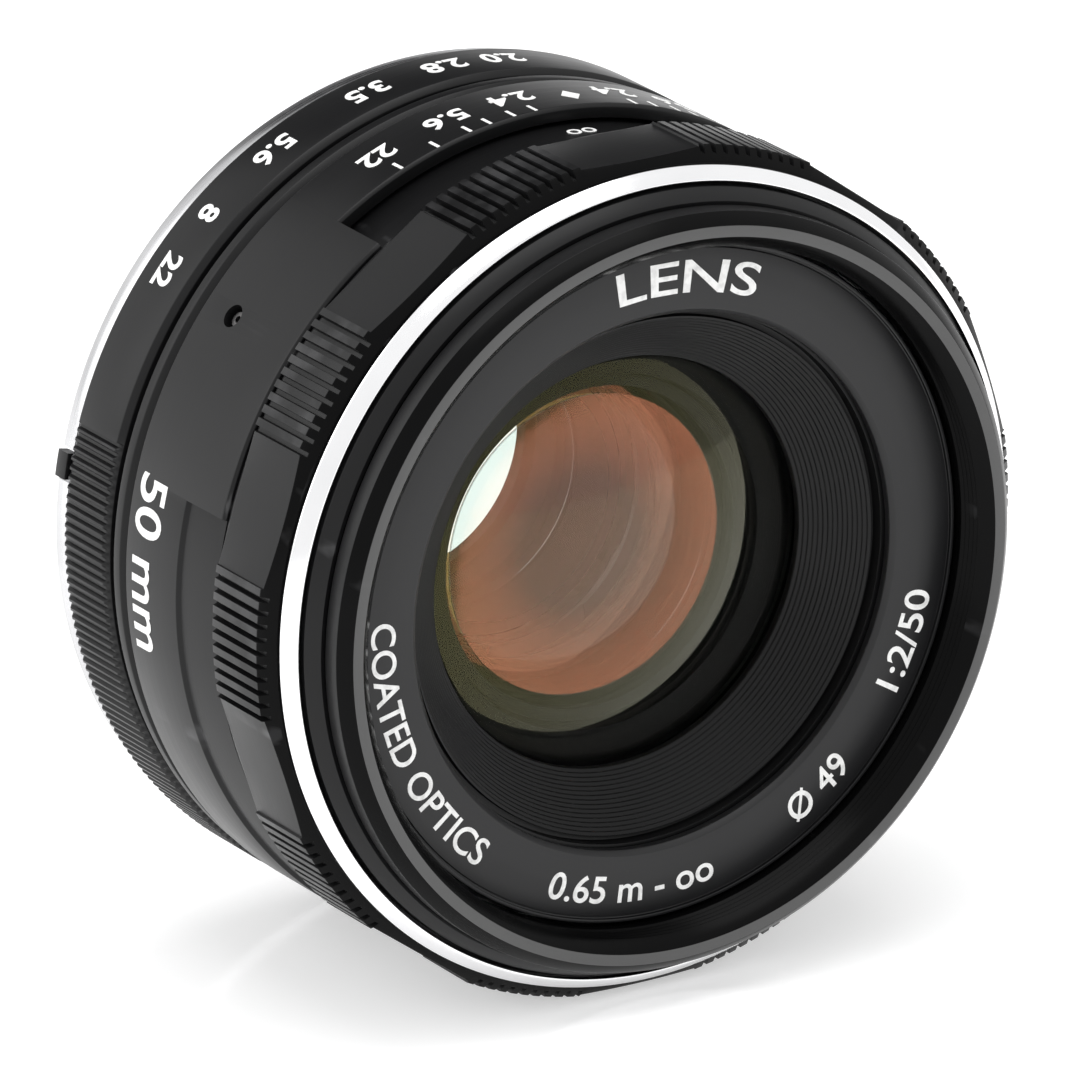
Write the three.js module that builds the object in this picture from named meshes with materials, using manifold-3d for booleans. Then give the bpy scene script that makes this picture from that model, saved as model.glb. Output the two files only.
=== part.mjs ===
// Manual-focus prime lens, 50 mm f/2, built as its separate mechanical and optical pieces.
// Millimetres. Each piece is drawn with the optical axis as Z, from the rear plane of the bayonet (Z = 0)
// towards the front glass, and with the index mark of the scales at -Y. The finished lens is then laid on
// its side: it rests on a flat of the focus grip, with the front glass towards -Y and +Z up.
import * as THREE from 'three';
import { mergeVertices } from 'three/addons/utils/BufferGeometryUtils.js';
import Module from 'manifold-3d';

const wasm = await Module();
wasm.setup();

// ---------- driving dimensions ----------

const GAP = 0.3; // clearance between neighbouring pieces
const INDEX = -90; // direction of the index mark, degrees anticlockwise seen from the front

const FLANGE = { back: 4.6, front: 6.0, r: 29.4, throat: 20.6, tube: 22.0, claw: 23.3, screws: 26.2 };
const HOUSING = { back: 6.3, front: 12.1, r: 27.3, wall: 25.6, floor: 7.4, hole: 19.2 };
const APERTURE = { back: 6.3, front: 12.1, r: 29.9, bore: 27.6, turn: 57 };
const TRIM = { back: 12.4, front: 14.2, r: 29.7 };
const BARREL = { back: 14.5, step: 15.7, thick: 19.5, front: 26.3, r: 29.9, wall: 28.9, bore: 24.9 };
const WINDOW = { back: 21.0, half: 40.3, pad: 82.2 };
const FOCUS = {
  back: 19.8, web: 26.6, webTop: 28.4, front: 33.5,
  r: 30.3, edge: 29.3, bore: 28.9, sleeve: 28.6, inner: 27.7,
};
const GRIP = { bands: 10, phase: 24.6, step: 0.15 }; // phase: middle of a knurled band, from the index
const REST_FLAT = INDEX + GRIP.phase + 4.5 * 360 / GRIP.bands; // the flat that the lens lies on
const HELICOID = { back: 16.0, front: 28.0, r: 27.4, bore: 25.9 };
const TUBE = { back: 16.0, front: 33.4, r: 25.6, bore: 24.6, web: 24.8, webTop: 26.0, webBore: 18.6 };
const CHROME = { back: 33.8, front: 34.9, r: 29.2, edge: 28.45 };
const RIM = { front: 38.4, r: 28.0, thread: 24.5, skirt: 28.5, skirtBack: 28.8 };
const NAME = { back: 34.2, front: 35.1, r: 24.2, bore: 19.1 };
const STOP_TURN = 120; // focus throw

const BLADES = 8;
const BLADE = {
  swing: 38, pivot: 14.6, open: 9.7, outer: 12.9, arm: 3.6, pin: 0.35, thick: 0.12, pitch: 0.2,
};
const IRIS = {
  plate: 14.9, plateTop: 15.7, blades: 16.0, cam: 17.9, camTop: 18.5, cover: 18.9, coverTop: 19.7,
};
const IRIS_R = { outer: 21.0, camOuter: 18.9, camBore: 13.2, post: 19.6, screws: 20.3 };

const LEVER = {
  angle: 118.5, inner: 22.0, bar: 23.1, arm: 27.3, low: 8.0, armTop: 9.2, top: 24.3, width: 2.4,
};
const KEY = { inner: 23.4, outer: 25.4, top: 22.5, width: 3.0 };
const CLICK = { angle: -150, z: 9.2, ball: 0.75, centre: 26.7, bore: 1.1 };
const STOP_PIN = { angle: 30, r: 26.6, radius: 0.45, low: 14.7, top: 17.6 };
const BARREL_SCREW_R = 26.45;
const CELL_SCREW_R = 21.2;
const SCREW_HOLE = 0.75;
const GRUB = { z: 18.4, hole: 0.85, radius: 0.55, socket: 0.28, inner: 27.9, outer: 29.4 };
const TAB = { from: 84.7, to: 88.3, margin: 0.5, reach: 0.4 }; // on the flange's rim, degrees from the index

// Glass elements, front to back: vertex heights, surface radii (positive is convex to the front),
// radius of each clear surface and of the edge.
const ELEMENTS = [
  { name: 'front_element', front: 32.8, frontR: 32, back: 28.8, backR: 150, edge: 15.7 },
  { name: 'second_element', front: 28.4, frontR: 21, back: 24.8, backR: 48, edge: 12.3 },
  { name: 'third_element', front: 24.0, frontR: 60, back: 22.6, backR: 14, edge: 11.2, backClear: 9.4 },
  { name: 'fourth_element', front: 12.6, frontR: -14, back: 11.4, backR: 50, edge: 9.4, frontClear: 8.6 },
  { name: 'fifth_element', front: 11.1, frontR: 50, back: 7.3, backR: -26, edge: 9.4 },
  { name: 'rear_element', front: 6.8, frontR: 60, back: 3.8, backR: -45, edge: 10.0 },
];

// Facets round a ring: outer rings, inner rings and cells, small pins and screws.
const OUTER = 36;
const INNER = 24;
const SMALL = 8;

// ---------- materials ----------

const metal = (color, roughness, metalness) => (
  new THREE.MeshStandardMaterial({ color, roughness, metalness })
);
const CLEAR = { color: 0xdfe8e4, roughness: 0.03, metalness: 0, transparent: true, opacity: 0.35 };
const FINISH = {
  black: () => metal(0x1b1b1d, 0.45, 0.6),
  flock: () => metal(0x0b0b0c, 0.9, 0.1),
  chrome: () => metal(0xd9dadd, 0.12, 1.0),
  brass: () => metal(0xb08d4a, 0.35, 1.0),
  steel: () => metal(0x8f9195, 0.35, 1.0),
  alloy: () => metal(0x77797c, 0.5, 0.9),
  glass: () => new THREE.MeshStandardMaterial(CLEAR),
};

// ---------- geometry helpers ----------

const radians = (degrees) => degrees * Math.PI / 180;
const polar = (r, degrees) => [r * Math.cos(radians(degrees)), r * Math.sin(radians(degrees))];
const shapeOf = (points) => new THREE.Shape(points.map(([x, y]) => new THREE.Vector2(x, y)));

function arcPoints(r, from, to, steps, centre = [0, 0]) {
  const points = [];
  for (let i = 0; i <= steps; i += 1) {
    const [x, y] = polar(r, from + (to - from) * i / steps);
    points.push([centre[0] + x, centre[1] + y]);
  }
  return points;
}

// Joins shared vertices, leaving position alone.
function weld(geometry) {
  geometry.deleteAttribute('normal');
  geometry.deleteAttribute('uv');
  return mergeVertices(geometry, 1e-4);
}

function signedVolume(geometry) {
  const p = geometry.attributes.position;
  const index = geometry.index.array;
  const a = new THREE.Vector3();
  const b = new THREE.Vector3();
  const c = new THREE.Vector3();
  let total = 0;
  for (let i = 0; i < index.length; i += 3) {
    a.fromBufferAttribute(p, index[i]);
    b.fromBufferAttribute(p, index[i + 1]);
    c.fromBufferAttribute(p, index[i + 2]);
    total += a.dot(b.cross(c));
  }
  return total;
}

// A closed mesh as a solid, turned the right way out first.
function solid(source) {
  const geometry = weld(source);
  if (signedVolume(geometry) < 0) {
    const index = geometry.index.array;
    for (let i = 0; i < index.length; i += 3) {
      [index[i], index[i + 1]] = [index[i + 1], index[i]];
    }
  }
  const vertProperties = new Float32Array(geometry.attributes.position.array);
  const triVerts = new Uint32Array(geometry.index.array);
  return new wasm.Manifold(new wasm.Mesh({ numProp: 3, vertProperties, triVerts }));
}

function fromSolid(body) {
  const mesh = body.getMesh();
  const geometry = new THREE.BufferGeometry();
  geometry.setAttribute('position', new THREE.BufferAttribute(mesh.vertProperties, 3));
  geometry.setIndex(new THREE.BufferAttribute(mesh.triVerts, 1));
  return geometry;
}

const cut = (body, tools) => tools.reduce((left, tool) => left.subtract(tool), body);
const join = (body, pieces) => pieces.reduce((whole, piece) => whole.add(piece), body);

// Closed ring of revolution from (radius, height) points.
function ring(profile, segments = OUTER) {
  const closed = [...profile, profile[0]].map(([r, z]) => new THREE.Vector2(r, z));
  return new THREE.LatheGeometry(closed, segments).rotateX(Math.PI / 2);
}

// Solid of revolution whose profile starts and ends on the axis.
function turned(profile, segments = INNER) {
  const points = profile.map(([r, z]) => new THREE.Vector2(r, z));
  return new THREE.LatheGeometry(points, segments).rotateX(Math.PI / 2);
}

const tubeProfile = (inner, outer, low, high) => [[inner, low], [outer, low], [outer, high], [inner, high]];

function plate(shape, low, high, steps = 12) {
  const options = { depth: high - low, bevelEnabled: false, curveSegments: steps };
  return new THREE.ExtrudeGeometry(shape, options).translate(0, 0, low);
}

// Ring segment between two angles, used for claws, posts and arc-shaped cuts.
function sector(inner, outer, from, to, low, high, steps = 8) {
  const outline = [...arcPoints(outer, from, to, steps), ...arcPoints(inner, to, from, steps)];
  return plate(shapeOf(outline), low, high);
}

// Bar with a (radius, height) outline, standing at an angle round the axis.
function radialBar(outline, width, angle) {
  const options = { depth: width, bevelEnabled: false };
  const bar = new THREE.ExtrudeGeometry(shapeOf(outline), options).translate(0, 0, -width / 2);
  return bar.rotateX(Math.PI / 2).rotateZ(radians(angle));
}

// Upright round rod at a polar place.
function rod(radius, low, high, r, angle, sides = SMALL) {
  const [x, y] = polar(r, angle);
  const geometry = new THREE.CylinderGeometry(radius, radius, high - low, sides).rotateX(Math.PI / 2);
  return geometry.translate(x, y, (low + high) / 2);
}

// Round rod lying along a radius.
function radialRod(radius, from, to, angle, z, sides = SMALL) {
  const geometry = new THREE.CylinderGeometry(radius, radius, to - from, sides).rotateZ(-Math.PI / 2);
  return geometry.translate((from + to) / 2, 0, z).rotateZ(radians(angle));
}

// ---------- scene graph ----------

const lens = new THREE.Group();

function add(name, source, finish) {
  const geometry = source instanceof THREE.BufferGeometry ? fromSolid(solid(source)) : fromSolid(source);
  geometry.computeVertexNormals();
  const mesh = new THREE.Mesh(geometry, finish());
  mesh.name = name;
  lens.add(mesh);
}

// Slotted screw driven along -Z: a shank below a wider head, with a groove across the head.
function addScrew(name, { head, headLow, headTop, shank, low, r, angle, slot = 0.25 }) {
  const [x, y] = polar(r, angle);
  const profile = [
    [0, low], [shank, low], [shank, headLow], [head, headLow], [head, headTop], [0, headTop],
  ];
  const body = solid(turned(profile, SMALL).translate(x, y, 0));
  const groove = new THREE.BoxGeometry(2.2 * head, 0.3, 2 * slot);
  groove.rotateZ(radians(angle)).translate(x, y, headTop);
  add(name, body.subtract(solid(groove)), FINISH.steel);
}

// Equal angles round the axis.
const spread = (count, start = 0) => Array.from({ length: count }, (_, i) => start + i * 360 / count);

// ---------- mount ----------

const mountScrewAngles = spread(4, 45);

function buildMount() {
  const profile = [
    [FLANGE.throat, 0], [FLANGE.tube, 0], [FLANGE.tube, FLANGE.back], [FLANGE.r, FLANGE.back],
    [FLANGE.r, FLANGE.front], [FLANGE.throat, FLANGE.front],
  ];
  const claws = spread(3, 60).map((a) => (
    solid(sector(FLANGE.tube - 0.4, FLANGE.claw, a - 24, a + 24, 1.4, 2.8))
  ));
  const holes = mountScrewAngles.flatMap((a) => [
    solid(rod(1.05, FLANGE.back - 1, FLANGE.front + 1, FLANGE.screws, a)),
    solid(rod(1.8, FLANGE.back - 1, 5.6, FLANGE.screws, a)),
  ]);
  const tabEnds = [INDEX + TAB.from, INDEX + TAB.to];
  const notchEnds = [tabEnds[0] - TAB.margin, tabEnds[1] + TAB.margin];
  const notch = solid(sector(FLANGE.r - 0.7, FLANGE.r + 1, ...notchEnds, 4, 6.5));
  add('mount_flange', cut(join(solid(ring(profile)), claws), [...holes, notch]), FINISH.chrome);
  const tab = sector(FLANGE.r - TAB.reach, FLANGE.r + TAB.reach, ...tabEnds, 4.7, FLANGE.front, 3);
  add('mount_index_tab', tab, FINISH.black);
  mountScrewAngles.forEach((angle, i) => {
    const [x, y] = polar(FLANGE.screws, angle);
    const headProfile = [[0, 4.75], [1.5, 4.75], [1.5, 5.3], [0.75, 5.3], [0.75, 9.0], [0, 9.0]];
    const slot = new THREE.BoxGeometry(3.4, 0.35, 0.5).rotateZ(radians(angle)).translate(x, y, 4.75);
    const screw = solid(turned(headProfile, SMALL).translate(x, y, 0));
    add(`mount_screw_${i + 1}`, screw.subtract(solid(slot)), FINISH.steel);
  });
}

function buildRearBaffle() {
  const cup = ring([[18.0, 0.6], [20.3, 0.6], [20.3, 4.2], [19.3, 4.2], [19.3, 1.6], [18.0, 1.6]]);
  const opening = shapeOf([[-12.5, -9], [12.5, -9], [12.5, 9], [-12.5, 9]]);
  const disc = new THREE.Shape().absarc(0, 0, 18.6, 0, 2 * Math.PI);
  disc.holes.push(opening);
  add('rear_baffle', solid(cup).add(solid(plate(disc, 0.6, 1.6))), FINISH.flock);
}

// ---------- rear housing and aperture ring ----------

const barrelScrewAngles = [-20, -100, -180];
const keyAngles = [0, 180];

function buildRearHousing() {
  const drum = solid(ring([
    [HOUSING.hole, HOUSING.back], [HOUSING.r, HOUSING.back], [HOUSING.r, HOUSING.front],
    [HOUSING.wall, HOUSING.front], [HOUSING.wall, HOUSING.floor], [HOUSING.hole, HOUSING.floor],
  ]));
  const boss = solid(radialBar([[22.6, 7.0], [26.0, 7.0], [26.0, 11.4], [22.6, 11.4]], 4.4, CLICK.angle));
  const leverFrom = LEVER.angle - APERTURE.turn - 6;
  const leverSlot = solid(sector(25, 28, leverFrom, LEVER.angle + 6, LEVER.low - GAP, LEVER.armTop + GAP));
  const clickBore = solid(radialRod(CLICK.bore, 23.4, 29, CLICK.angle, CLICK.z));
  const mountHoles = mountScrewAngles.map((a) => solid(rod(1.05, 6, 9.3, FLANGE.screws, a)));
  const barrelHoles = barrelScrewAngles.map((a) => solid(rod(SCREW_HOLE, 9.2, 13, BARREL_SCREW_R, a)));
  const holes = [leverSlot, clickBore, ...mountHoles, ...barrelHoles];
  add('rear_housing', cut(drum.add(boss), holes), FINISH.alloy);
}

function buildClickStop() {
  const ball = new THREE.SphereGeometry(CLICK.ball, 12, 8).translate(CLICK.centre, 0, CLICK.z);
  add('click_ball', ball.rotateZ(radians(CLICK.angle)), FINISH.steel);
  const turns = 4;
  const coil = new (class extends THREE.Curve {
    getPoint(t, target = new THREE.Vector3()) {
      const angle = t * turns * 2 * Math.PI;
      return target.set(23.65 + t * 1.7, 0.55 * Math.cos(angle), CLICK.z + 0.55 * Math.sin(angle));
    }
  })();
  const wire = shapeOf(arcPoints(0.12, 0, 270, 3));
  const options = { steps: turns * 8, bevelEnabled: false, extrudePath: coil };
  const spring = new THREE.ExtrudeGeometry(wire, options);
  add('click_spring', spring.rotateZ(radians(CLICK.angle)), FINISH.steel);
}

// Click grooves sit where each f-number meets the index.
const fStopTurns = [0, 9, 20, 35.3, 47.5, APERTURE.turn];

function buildApertureRing() {
  const { back, front, r, bore } = APERTURE;
  const profile = [
    [bore, back], [r - 0.3, back], [r, back + 0.3], [r, front - 0.4], [r - 0.4, front], [bore, front],
  ];
  const grooves = fStopTurns.map((turn) => solid(rod(0.9, back - 1, front + 1, 27.3, CLICK.angle + turn)));
  add('aperture_ring', cut(solid(ring(profile)), grooves), FINISH.black);
  const outline = [
    [LEVER.inner, LEVER.low], [LEVER.arm, LEVER.low], [LEVER.arm, LEVER.armTop],
    [LEVER.bar, LEVER.armTop], [LEVER.bar, LEVER.top], [LEVER.inner, LEVER.top],
  ];
  add('aperture_lever', radialBar(outline, LEVER.width, LEVER.angle), FINISH.steel);
}

// ---------- trim ring, main barrel, guide keys ----------

const grubAngles = spread(3, INDEX + 58);

function buildBarrel() {
  const { back, front, r } = TRIM;
  const trim = solid(ring([
    [BARREL.bore, back], [r - 0.5, back], [r, back + 0.5],
    [r, front - 0.5], [r - 0.5, front], [BARREL.bore, front],
  ]));
  const trimHoles = barrelScrewAngles.map((a) => solid(rod(SCREW_HOLE, 12, 15, BARREL_SCREW_R, a)));
  add('trim_ring', cut(trim, trimHoles), FINISH.black);

  const shell = solid(ring([
    [BARREL.bore, BARREL.back], [BARREL.r - 0.4, BARREL.back], [BARREL.r, BARREL.back + 0.4],
    [BARREL.r, BARREL.front],
    [BARREL.wall, BARREL.front], [BARREL.wall, BARREL.thick], [FOCUS.inner, BARREL.thick],
    [FOCUS.inner, BARREL.step], [BARREL.bore, BARREL.step],
  ], 48));
  const window = solid(sector(28, 31, INDEX - WINDOW.half, INDEX + WINDOW.half, WINDOW.back, 27, 10));
  const sunkFrom = INDEX + WINDOW.pad;
  const sunkTo = sunkFrom + 360 - 2 * WINDOW.pad;
  const sunk = solid(sector(BARREL.r - 0.3, 31, sunkFrom, sunkTo, WINDOW.back + 0.6, 27, 20));
  const slotEnds = [STOP_PIN.angle - 6, STOP_PIN.angle + STOP_TURN + 6];
  const stopSlot = solid(sector(STOP_PIN.r - 0.75, STOP_PIN.r + 0.75, ...slotEnds, 14, 16, 13));
  const screwHoles = barrelScrewAngles.flatMap((a) => [
    solid(rod(SCREW_HOLE, 14, 16, BARREL_SCREW_R, a)),
    solid(rod(1.15, 14.9, 16, BARREL_SCREW_R, a)),
  ]);
  const grubHoles = grubAngles.map((a) => solid(radialRod(GRUB.hole, 27, 31, a, GRUB.z)));
  add('main_barrel', cut(shell, [window, sunk, stopSlot, ...screwHoles, ...grubHoles]), FINISH.black);

  barrelScrewAngles.forEach((angle, i) => {
    const size = { head: 0.85, headLow: 15.2, headTop: 15.6, shank: 0.45, low: 9.5, slot: 0.15 };
    addScrew(`barrel_screw_${i + 1}`, { ...size, r: BARREL_SCREW_R, angle });
  });
  grubAngles.forEach((angle, i) => {
    const socket = solid(radialRod(GRUB.socket, 28.8, 30, angle, GRUB.z, 6));
    const screw = solid(radialRod(GRUB.radius, GRUB.inner, GRUB.outer, angle, GRUB.z));
    add(`grub_screw_${i + 1}`, screw.subtract(socket), FINISH.steel);
  });

  const foot = HOUSING.floor + GAP;
  const keyOutline = [
    [KEY.inner, foot], [24.6, foot], [24.6, TUBE.back],
    [KEY.outer, TUBE.back], [KEY.outer, KEY.top], [KEY.inner, KEY.top],
  ];
  keyAngles.forEach((angle, i) => {
    add(`guide_key_${i + 1}`, radialBar(keyOutline, KEY.width, angle), FINISH.brass);
  });
}

// ---------- focus ring and helicoid ----------

// Radius of the grip at an angle from the middle of a knurled band: bands alternate with flats.
function gripRadius(angle) {
  const pitch = 360 / GRIP.bands;
  const fromFlat = ((angle % pitch) + pitch) % pitch - pitch / 2;
  if (Math.abs(fromFlat) > pitch / 4 - 0.1) {
    return FOCUS.r;
  }
  return FOCUS.r * Math.cos(radians(pitch / 4)) / Math.cos(radians(fromFlat)) - GRIP.step;
}

function buildFocusRing() {
  const profile = [
    [FOCUS.inner, FOCUS.back], [FOCUS.sleeve, FOCUS.back], [FOCUS.sleeve, FOCUS.web], [29.9, FOCUS.web],
    [FOCUS.r, FOCUS.web + 0.4], [FOCUS.r, FOCUS.front - 0.7], [FOCUS.edge, FOCUS.front],
    [FOCUS.bore, FOCUS.front],
    [FOCUS.bore, FOCUS.webTop], [FOCUS.inner, FOCUS.webTop],
  ];
  const geometry = ring(profile, 60);
  const p = geometry.attributes.position;
  const bandZero = INDEX + GRIP.phase;
  geometry.rotateZ(radians(bandZero));
  for (let i = 0; i < p.count; i += 1) {
    const r = Math.hypot(p.getX(i), p.getY(i));
    const angle = THREE.MathUtils.radToDeg(Math.atan2(p.getY(i), p.getX(i))) - bandZero;
    const scale = r > FOCUS.r - 0.1 ? gripRadius(angle) / r : 1;
    p.setXY(i, p.getX(i) * scale, p.getY(i) * scale);
  }
  add('focus_ring', geometry, FINISH.black);

  const sleeve = solid(ring(tubeProfile(HELICOID.bore, HELICOID.r, HELICOID.back, HELICOID.front)));
  const pinHole = solid(rod(STOP_PIN.radius + GAP, 15, STOP_PIN.top + GAP, STOP_PIN.r, STOP_PIN.angle));
  add('focus_helicoid', sleeve.subtract(pinHole), FINISH.brass);
  const pin = rod(STOP_PIN.radius, STOP_PIN.low, STOP_PIN.top, STOP_PIN.r, STOP_PIN.angle, 12);
  add('focus_stop_pin', pin, FINISH.steel);
}

// ---------- sliding barrel and front rings ----------

function buildInnerBarrel() {
  const tube = solid(ring([
    [TUBE.bore, TUBE.back], [TUBE.r, TUBE.back], [TUBE.r, TUBE.front], [TUBE.bore, TUBE.front],
    [TUBE.bore, TUBE.webTop], [TUBE.webBore, TUBE.webTop], [TUBE.webBore, TUBE.web], [TUBE.bore, TUBE.web],
  ]));
  const slotOutline = [[24, 15], [26.5, 15], [26.5, KEY.top + GAP], [24, KEY.top + GAP]];
  const slots = keyAngles.map((a) => solid(radialBar(slotOutline, KEY.width + 2 * GAP, a)));
  const screwHoles = cellScrewAngles.map((a) => solid(rod(SCREW_HOLE, 24, 27, CELL_SCREW_R, a)));
  add('inner_barrel', cut(tube, [...slots, ...screwHoles]), FINISH.alloy);
}

function buildFrontRings() {
  add('filter_ring', ring([
    [RIM.thread, 33.7], [27.7, 33.7], [27.7, RIM.skirtBack], [RIM.skirt, RIM.skirtBack], [RIM.skirt, 33.5],
    [RIM.r, 33.5], [RIM.r, 35.0], [27.1, 36.0], [26.6, 38.1], [26.3, RIM.front], [25.4, RIM.front],
    [RIM.thread, 37.7],
  ]), FINISH.black);
  add('chrome_trim_ring', ring([
    [RIM.r + GAP, CHROME.back], [CHROME.r, CHROME.back], [CHROME.r, CHROME.back + 0.1],
    [CHROME.edge, CHROME.front], [RIM.r + GAP, CHROME.front],
  ]), FINISH.chrome);
  add('name_ring', ring(tubeProfile(NAME.bore, NAME.r, NAME.back, NAME.front)), FINISH.black);
  add('front_baffle', ring([
    [14.7, 29.6], [16.4, 29.6], [16.4, 31.0], [19.4, 33.0],
    [24.2, 33.0], [24.2, 33.9], [18.9, 33.9], [14.7, 30.0],
  ], INNER), FINISH.flock);
}

// ---------- glass and its cells ----------

function surfaceHeight(r, vertex, radius, clear) {
  const reach = Math.min(r, clear);
  const sag = Math.abs(radius) - Math.sqrt(radius * radius - reach * reach);
  return vertex - Math.sign(radius) * sag;
}

function surfaceProfile(vertex, radius, clear, edge) {
  const steps = 3;
  const points = [];
  for (let i = 0; i <= steps; i += 1) {
    const r = clear * i / steps;
    points.push([r, surfaceHeight(r, vertex, radius, clear)]);
  }
  if (clear < edge) {
    points.push([edge, surfaceHeight(edge, vertex, radius, clear)]);
  }
  return points;
}

function buildElements() {
  ELEMENTS.forEach(({ name, front, frontR, back, backR, edge, frontClear = edge, backClear = edge }) => {
    const face = surfaceProfile(front, frontR, frontClear, edge);
    const rear = surfaceProfile(back, backR, backClear, edge);
    add(name, turned([...rear, ...face.reverse()]), FINISH.glass);
  });
}

const cellScrewAngles = spread(3, 90);

function buildCells() {
  const frontCell = solid(ring([
    [9.9, 18.0], [12.8, 18.0], [12.8, 22.2], [13.9, 22.2], [13.9, 26.3], [23.8, 26.3],
    [23.8, 27.3], [17.4, 27.3], [17.4, 29.3], [16.0, 29.3], [16.0, 27.6], [12.6, 27.6],
    [12.6, 22.9], [11.5, 22.9], [11.5, 18.68], [9.9, 18.68],
  ], INNER));
  const holes = cellScrewAngles.map((a) => solid(rod(SCREW_HOLE, 25, 28, CELL_SCREW_R, a)));
  add('front_cell', cut(frontCell, holes), FINISH.flock);
  cellScrewAngles.forEach((angle, i) => {
    const size = { head: 1.3, headLow: 27.6, headTop: 28.3, shank: 0.45, low: 24.0 };
    addScrew(`cell_screw_${i + 1}`, { ...size, r: CELL_SCREW_R, angle });
  });
  const wedge = [[11.4, 25.6], [12.3, 24.8], [12.3, 26.4], [11.4, 26.4]];
  add('second_element_ring', ring(wedge, INNER), FINISH.flock);
  add('rear_cell', ring([
    [10.3, 3.0], [11.6, 3.0], [11.6, 13.6], [16.5, 13.6], [16.5, 14.6], [9.7, 14.6],
    [9.7, 8.5], [8.9, 8.5], [8.9, 6.5], [10.3, 6.5],
  ], INNER), FINISH.flock);
  add('rear_retaining_ring', ring(tubeProfile(9.0, 10.0, 3.1, 4.3), INNER), FINISH.flock);
}

// ---------- iris ----------

const bladeAngles = spread(BLADES, INDEX);
const irisPostAngles = [30, 150, 270];

function buildIrisHousing() {
  const disc = solid(ring(tubeProfile(9.9, IRIS_R.outer, IRIS.plate, IRIS.plateTop), INNER));
  const posts = irisPostAngles.map((a) => (
    solid(sector(IRIS_R.post, IRIS_R.outer, a - 5, a + 5, IRIS.plateTop - 0.2, IRIS.cover - GAP, 2))
  ));
  const pivots = bladeAngles.map((a) => solid(rod(BLADE.pin + GAP, 14, 16, BLADE.pivot, a)));
  const threads = irisPostAngles.map((a) => solid(rod(SCREW_HOLE, 16.2, 19, IRIS_R.screws, a)));
  add('iris_housing', cut(join(disc, posts), [...pivots, ...threads]), FINISH.flock);
  const cover = solid(ring(tubeProfile(13.1, IRIS_R.outer, IRIS.cover, IRIS.coverTop), INNER));
  const coverHoles = irisPostAngles.map((a) => solid(rod(SCREW_HOLE, 18, 20, IRIS_R.screws, a)));
  add('iris_cover', cut(cover, coverHoles), FINISH.flock);
  irisPostAngles.forEach((angle, i) => {
    const size = { head: 1.1, headLow: 20.0, headTop: 20.6, shank: 0.45, low: 16.5 };
    addScrew(`iris_screw_${i + 1}`, { ...size, r: IRIS_R.screws, angle });
  });
}

// Where a blade's drive pin is, for a blade that pivots at angle 0 and has swung inwards.
function drivePin(swing) {
  const a = radians(swing);
  return [BLADE.pivot + BLADE.arm * Math.sin(a), -BLADE.arm * Math.cos(a)];
}

const turnPoint = ([x, y], degrees) => {
  const [c, s] = polar(1, degrees);
  return [c * x - s * y, s * x + c * y];
};

// Outline of the cam slot that drives one blade: the drive pin's path in the turning cam ring.
function camSlot(bladeAngle) {
  const half = BLADE.pin + 0.25;
  const steps = 6;
  const path = [];
  for (let i = 0; i <= steps; i += 1) {
    const turn = APERTURE.turn * i / steps;
    path.push(turnPoint(drivePin(BLADE.swing * i / steps), turn + bladeAngle));
  }
  const normals = path.map((_, i) => {
    const [x0, y0] = path[Math.max(i - 1, 0)];
    const [x1, y1] = path[Math.min(i + 1, steps)];
    const length = Math.hypot(x1 - x0, y1 - y0);
    return [(y1 - y0) / length, (x0 - x1) / length];
  });
  const side = (sign) => path.map(([x, y], i) => {
    const [nx, ny] = normals[i];
    return [x + sign * half * nx, y + sign * half * ny];
  });
  const cap = ([x, y], [nx, ny]) => {
    const start = THREE.MathUtils.radToDeg(Math.atan2(ny, nx));
    return arcPoints(half, start + 45, start + 135, 2, [x, y]);
  };
  const last = normals[steps];
  const first = normals[0].map((v) => -v);
  return [...side(1), ...cap(path[steps], last), ...side(-1).reverse(), ...cap(path[0], first)];
}

function buildIrisCam() {
  const outline = new THREE.Shape().absarc(0, 0, IRIS_R.camOuter, 0, 2 * Math.PI);
  const bore = new THREE.Path().absarc(0, 0, IRIS_R.camBore, 0, 2 * Math.PI);
  outline.holes.push(bore, ...bladeAngles.map((a) => shapeOf(camSlot(a))));
  const disc = solid(plate(outline, IRIS.cam, IRIS.camTop));
  const tab = solid(new THREE.BoxGeometry(5.4, 6.0, IRIS.camTop - IRIS.cam)
    .translate(20.8, 0, (IRIS.cam + IRIS.camTop) / 2).rotateZ(radians(LEVER.angle)));
  const fork = solid(new THREE.BoxGeometry(3, LEVER.width + 2 * GAP, 2)
    .translate(23.2, 0, IRIS.cam).rotateZ(radians(LEVER.angle)));
  add('iris_cam_ring', disc.add(tab).subtract(fork), FINISH.brass);
}

// Curved blade for a pivot at angle 0, with an ear for the pivot pin and the drive pin.
function bladeOutline() {
  return [
    ...arcPoints(BLADE.open, -4, 112, 10),
    ...arcPoints((BLADE.outer - BLADE.open) / 2, -60, 60, 2, [0, 0]).map(([x, y]) => {
      const [cx, cy] = polar((BLADE.outer + BLADE.open) / 2, 116);
      return [cx + 0.3 * x, cy + 0.3 * y];
    }).slice(1, 2),
    ...arcPoints(BLADE.outer, 112, 12, 8),
    polar(15.3, 5),
    polar(15.4, -4),
    polar(15.5, -12),
    polar(15.2, -16.5),
    polar(14.1, -16.5),
    polar(12.9, -10),
  ];
}

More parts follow.
